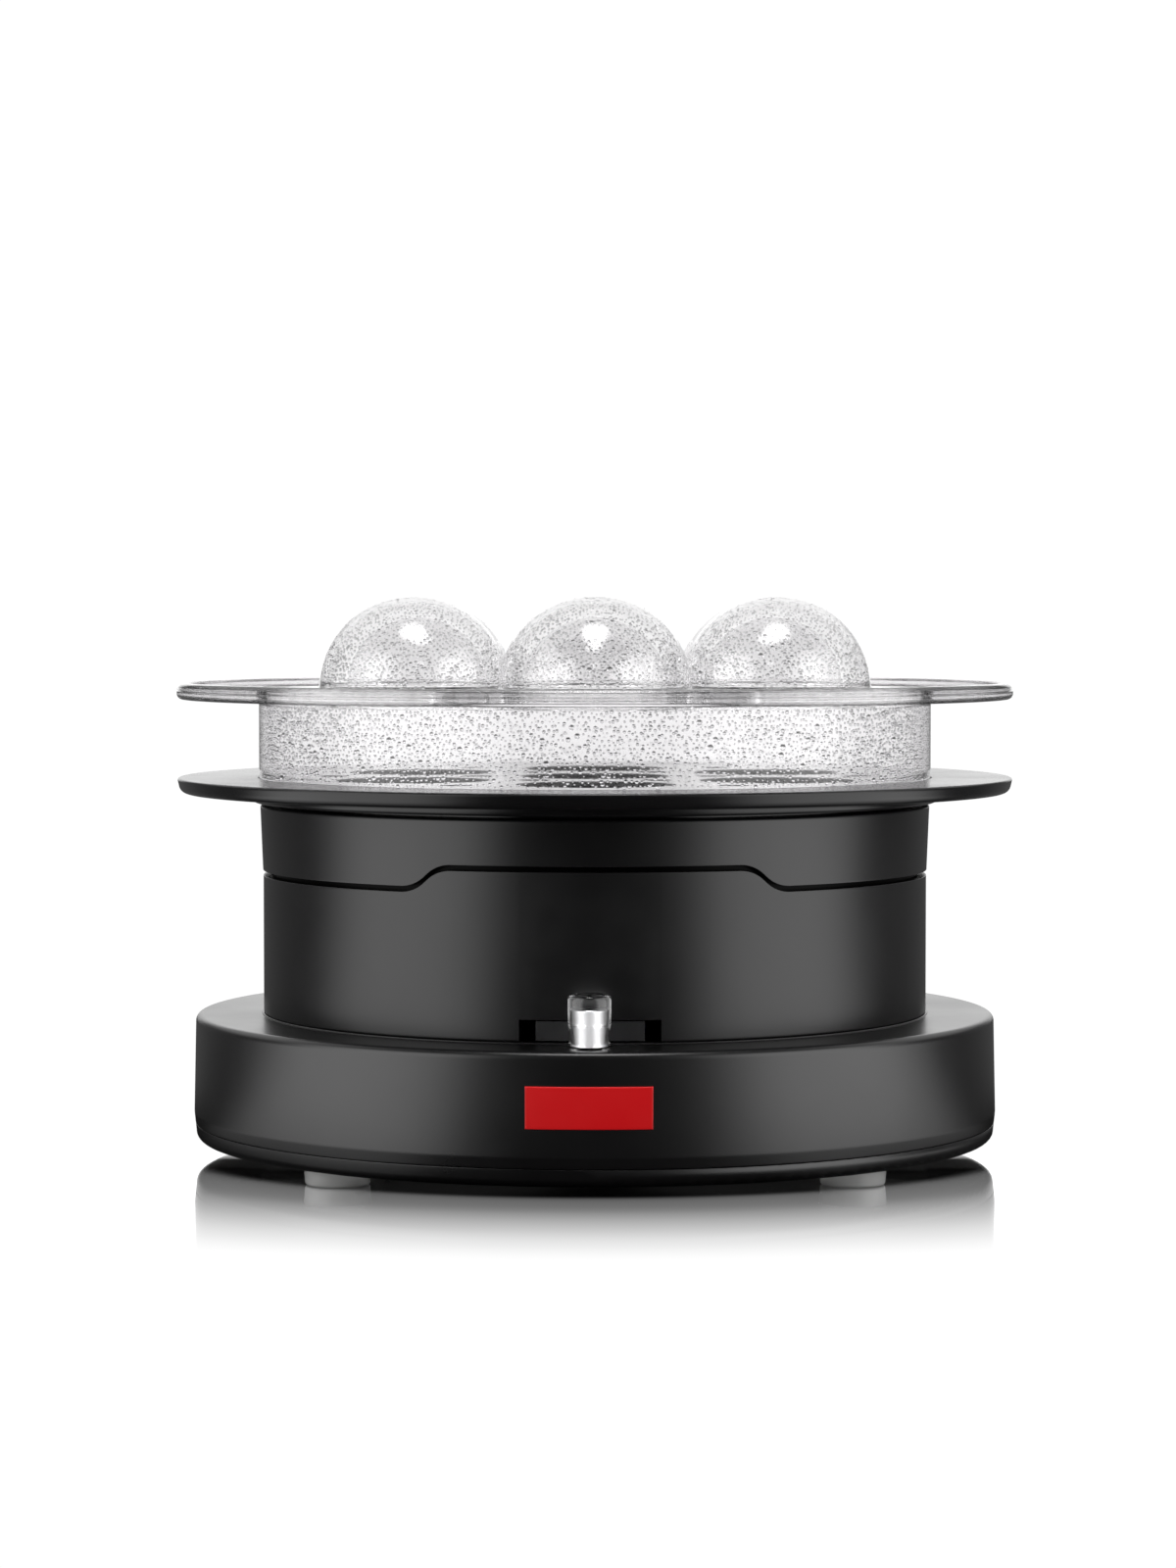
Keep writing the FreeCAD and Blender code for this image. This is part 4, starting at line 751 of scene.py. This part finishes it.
def badge_plate():
    """The red plate: a grid over its width and height, bent to the base's radius, its edge turned back in a
    small quarter circle. Depth falls off with the distance past a line just inside the edge."""
    half_wide, half_high, bend = 17.3, 5.8, 0.4

    def lines(half, count):
        edge = np.linspace(half - bend, half, 6)
        flat = np.linspace(-(half - 2 * bend), half - 2 * bend, count)
        return np.concatenate([-edge[::-1], flat, edge])

    u, v = np.meshgrid(lines(half_wide, 40), lines(half_high, 14), indexing="ij")
    past_side, past_top = np.abs(u) - (half_wide - bend), np.abs(v) - (half_high - bend)
    past = np.maximum(np.maximum(past_side, 0), np.maximum(past_top, 0))
    front_r = BASE_R - (bend - np.sqrt(np.maximum(bend ** 2 - past ** 2, 0)))
    angle = SWITCH_TURN - math.pi / 2 + u / BASE_R
    sheets = []
    for r in (front_r, np.full_like(front_r, BASE_R - 1.1)):
        sheets.append(np.stack([r * np.cos(angle), r * np.sin(angle), 26.7 + v], -1))
    rows, columns = u.shape
    front = grid_faces(rows, columns, False, False)
    edge = np.concatenate([np.arange(columns), columns * np.arange(1, rows) + columns - 1,
                           (rows - 1) * columns + np.arange(columns - 2, -1, -1),
                           columns * np.arange(rows - 2, 0, -1)])
    wall = np.stack([edge, np.roll(edge, -1), np.roll(edge, -1) + rows * columns, edge + rows * columns], 1)
    faces = np.concatenate([front, front[:, ::-1] + rows * columns, wall])
    points = np.concatenate([s.reshape(-1, 3) for s in sheets])
    solid("badge_plate", [(points, faces)], red, "base", ("badge",))


def switch_knob():
    """The clear knob: a little narrower below, rounded on top, hollow from below, turned round its own upright
    axis. The walls of its hollow carry a bright metal lining, a painted highlight that stands in for the bright
    bands of refracted light in the clear knob."""
    centre = (KNOB_OUT * math.sin(SWITCH_TURN), -KNOB_OUT * math.cos(SWITCH_TURN))
    outside = outline([(3.5, 42.4), (5.6, 42.4, 0.3), (5.6, 47.8, 1.0), (5.85, 48.3, 1.0),
                       (5.85, 56.4, 1.3), (0.0, 56.4)], 8)
    inside = outline([(0.0, 52.5), (3.5, 52.5, 0.6), (3.5, 42.4)], 8)
    grid = turned(np.concatenate([outside, inside]), 64, True, centre)
    piece = solid("clear_switch_knob", [grid], knob_clear, "switch", ("switch_knob",))
    # The lining faces are a painted highlight for the knob's refracted bands.
    piece.data.materials.append(knob_highlight_lining)
    for face in piece.data.polygons:
        x, y, z = face.center * 1000
        if math.hypot(x - centre[0], y - centre[1]) < 3.6 and 42.5 < z < 53:
            face.material_index = 1


def foot(corner, degrees):
    """A soft foot: a low disc, slightly wider at the top, with its stem through the bottom plate."""
    spot = (FEET_OUT * math.cos(math.radians(degrees)), FEET_OUT * math.sin(math.radians(degrees)))
    profile = outline([(0.0, 0.0), (9.0, 0.0, 0.9), (9.5, 5.2, 0.2), (3.0, 5.2), (3.0, 7.4), (4.1, 7.4),
                       (3.2, 9.2, 0.4), (0.0, 9.2)], 6)
    grid = turned(profile, 72, centre=spot)
    solid("milky_foot_" + corner, [grid], foot_milky, "base", ("foot_" + corner,))


def boiling_pan():
    """The pressed pan: one outline along the inside and back along the outside of the sheet, turned round."""
    profile = outline([(0.0, 66.8), (81.6, 66.8, 5.2), (81.6, PAN_RIM_Z, 1.8), (91.5, PAN_RIM_Z, 0.25),
                       (91.5, 91.5, 0.25), (82.4, 91.5, 1.0), (82.4, 66.0, 6.0), (0.0, 66.0)], 8)
    solid("steel_pan", [turned(profile, 256)], steel, "base", ("boiling_pan",))


lid_shell()
condensation()
egg_tray()
upper_housing()
lower_housing()
base_shell()
badge_plate()
switch_knob()
for corner, degrees in (("front_right", -45), ("rear_right", 45), ("rear_left", 135), ("front_left", 225)):
    foot(corner, degrees)
boiling_pan()

smooth_finishes = {
    "bottom_plate": base_black, "cord_gland": black, "switch_carriage": carriage_grey,
    "switch_slider": switch_dark, "switch_body": switch_dark, "lamp_holder": switch_dark,
    "indicator_lamp": lamp_glass, "heat_shield": steel, "heater_plate": aluminium, "heating_element": sheath,
    "pan_seal": seal_grey, "element_terminals": bead_white, "pan_studs": plated, "stud_nuts": plated,
    "thermostat": phenolic, "thermostat_blades": brass, "thermal_fuse": aluminium, "fuse_clip": spring_steel,
    "tie_screws": plated, "base_screws": plated, "body_screws": plated, "switch_blades": brass,
    "detent_spring": spring_steel, "switch_bracket": plated, "bracket_screws": plated,
    "terminal_block": nylon, "terminal_screws": brass, "lead_live": wire_brown, "lead_switched": wire_brown,
    "lead_thermostat": sleeving, "lead_neutral": wire_blue, "lead_earth": wire_green,
}
moving = {"switch_carriage": "switch", "switch_slider": "switch_slider"}
for node, finish in smooth_finishes.items():
    smoothed_copy(node, finish, moving.get(node, "base"))


# ------------------------------------------------------------------ floor, light and camera

def glow(tree, towards, azimuth, elevation, far, near, strength):
    """A soft source: full strength within near degrees of its middle, nothing beyond far degrees. The azimuth
    counts from the front, to the right. Given a level direction and no elevation, it has no upper end."""
    flat = math.cos(math.radians(elevation))
    middle = (flat * math.sin(math.radians(azimuth)), -flat * math.cos(math.radians(azimuth)),
              math.sin(math.radians(elevation)))
    facing = add(tree, "ShaderNodeVectorMath", {"operation": "DOT_PRODUCT"}, i0=towards, i1=middle)
    return mapped(tree, facing.outputs["Value"], math.cos(math.radians(far)), math.cos(math.radians(near)),
                  0.0, strength, "SMOOTHERSTEP")


def surroundings(tree, spot):
    """A spot's coordinates, how bright the two tall soft sources beside the object and the faint light behind
    it are towards the spot, and what clear plastic shows there: pale all round and dimmer only in front."""
    part = add(tree, "ShaderNodeSeparateXYZ", Vector=spot)
    level = add(tree, "ShaderNodeCombineXYZ", i0=part.outputs[0], i1=part.outputs[1], i2=0.0).outputs[0]
    flat = add(tree, "ShaderNodeVectorMath", {"operation": "NORMALIZE"}, i0=level).outputs[0]
    back = add(tree, "ShaderNodeSeparateXYZ", Vector=flat).outputs[1]
    sides = maths(tree, "ADD", glow(tree, flat, 63, 0, 40, 2, 2.5), glow(tree, flat, -63, 0, 40, 2, 2.4))
    faint = mapped(tree, back, 0.2, 0.7, 0.02, 0.13)
    through = mapped(tree, back, -0.5, 0.1, 0.72, 0.98, "SMOOTHSTEP")
    return part, sides, faint, through


def floor():
    """A wide pale floor, white to the eye, with a polished patch in front of the object that fades outwards.
    In the object's own reflections it is dark near the object and carries the light of the sides further out.
    From below it can't be seen."""
    mesh = bpy.data.meshes.new("studio_floor")
    mesh.from_pydata([[-8, -8, 0], [8, -8, 0], [8, 8, 0], [-8, 8, 0]], [], [[0, 1, 2, 3]])
    sheet = bpy.data.objects.new("studio_floor", mesh)
    bpy.context.scene.collection.objects.link(sheet)
    material = bpy.data.materials.new("polished_white_floor")
    material.use_nodes = True
    tree = material.node_tree
    tree.nodes.clear()
    part, sides, faint, through = surroundings(tree, own_place(tree))
    wide = maths(tree, "MULTIPLY", maths(tree, "MULTIPLY", part.outputs[0], part.outputs[0]), 0.64)
    deep = maths(tree, "MULTIPLY", part.outputs[1], part.outputs[1])
    out = maths(tree, "SQRT", maths(tree, "ADD", wide, deep))
    polish = tree.nodes.new("ShaderNodeFloatCurve")
    curve = polish.mapping.curves[0]
    for far, shine in ((0.04, 1.0), (0.1, 0.89), (0.22, 0.82), (0.31, 0.7), (0.49, 0.46), (0.7, 0.19),
                       (0.93, 0.0)):
        curve.points.new(far, shine)
    curve.points[0].location, curve.points[-1].location = (0.0, 1.0), (1.0, 0.0)
    polish.mapping.update()
    tree.links.new(mapped(tree, out, 0.09, 0.22, 0.0, 1.0), polish.inputs["Value"])
    ahead = maths(tree, "MULTIPLY", mapped(tree, part.outputs[1], 0.0, -0.02, 0.0, 1.0),
                  mapped(tree, maths(tree, "ABSOLUTE", part.outputs[0]), 0.118, 0.13, 1.0, 0.0))
    white = add(tree, "ShaderNodeEmission", Color=rgb(1, 1, 1), Strength=1.02)
    mirror = add(tree, "ShaderNodeBsdfGlossy", Color=rgb(0.99, 0.99, 0.99), Roughness=0.05)
    seen = add(tree, "ShaderNodeMixShader", i0=maths(tree, "MULTIPLY", polish.outputs[0], ahead),
               i1=white.outputs[0], i2=mirror.outputs[0])
    path = add(tree, "ShaderNodeLightPath")
    cast = maths(tree, "MULTIPLY", maths(tree, "ADD", sides, faint), mapped(tree, out, 0.11, 0.23, 0.01, 1.0))
    carried = either(tree, path.outputs["Is Transmission Ray"], cast, through)
    shed = add(tree, "ShaderNodeEmission", Color=rgb(1, 1, 1), Strength=carried)
    lit = add(tree, "ShaderNodeMixShader", i0=path.outputs["Is Camera Ray"], i1=shed.outputs[0],
              i2=seen.outputs[0])
    below = add(tree, "ShaderNodeNewGeometry").outputs["Backfacing"]
    whole = add(tree, "ShaderNodeMixShader", i0=below, i1=lit.outputs[0],
                i2=add(tree, "ShaderNodeBsdfTransparent").outputs[0])
    add(tree, "ShaderNodeOutputMaterial", i0=whole.outputs[0])
    mesh.materials.append(material)


def studio():
    """White to the eye. The object sees a bright backdrop and a pale ceiling behind it, a tall soft source on
    each side and one above, and near darkness in front."""
    world = bpy.data.worlds.new("studio")
    bpy.context.scene.world = world
    world.use_nodes = True
    tree = world.node_tree
    tree.nodes.clear()
    towards = add(tree, "ShaderNodeTexCoord").outputs["Generated"]
    part, sides, faint, through = surroundings(tree, towards)
    tall = maths(tree, "MULTIPLY", sides, mapped(tree, part.outputs[2], 0.45, 0.75, 1.0, 0.0))
    lamps = maths(tree, "ADD", tall, glow(tree, towards, 0, 76, 17, 1, 8.0))
    ceiling = maths(tree, "MULTIPLY", mapped(tree, part.outputs[2], 0.24, 0.45, 0.0, 0.8),
                    mapped(tree, part.outputs[1], -0.1, 0.3, 0.0, 1.0))
    behind = maths(tree, "ADD", glow(tree, towards, 180, 8, 26, 11, 1.3), ceiling)
    path = add(tree, "ShaderNodeLightPath")
    room = either(tree, path.outputs["Is Transmission Ray"], maths(tree, "ADD", behind, faint), through)
    strength = either(tree, path.outputs["Is Camera Ray"], maths(tree, "ADD", room, lamps), 1.05)
    light = add(tree, "ShaderNodeBackground", Color=rgb(1, 1, 1), Strength=strength)
    add(tree, "ShaderNodeOutputWorld", i0=light.outputs[0])


def camera():
    """The eye: 1.2 m in front, a little above the lid, looking slightly down."""
    data = bpy.data.cameras.new("camera")
    data.sensor_fit = "AUTO"
    data.sensor_width = 36.0
    data.lens = 93.55
    eye = bpy.data.objects.new("camera", data)
    eye.location = (-0.0020, -1.2, 0.15847)
    eye.rotation_euler = (math.radians(90 - 2.384), 0, 0)
    bpy.context.scene.collection.objects.link(eye)
    bpy.context.scene.camera = eye


floor()
studio()
camera()
scene = bpy.context.scene
scene.view_settings.view_transform = "Standard"
scene.view_settings.look = "None"
scene.cycles.max_bounces = 24
scene.cycles.transmission_bounces = 24
scene.cycles.glossy_bounces = 8
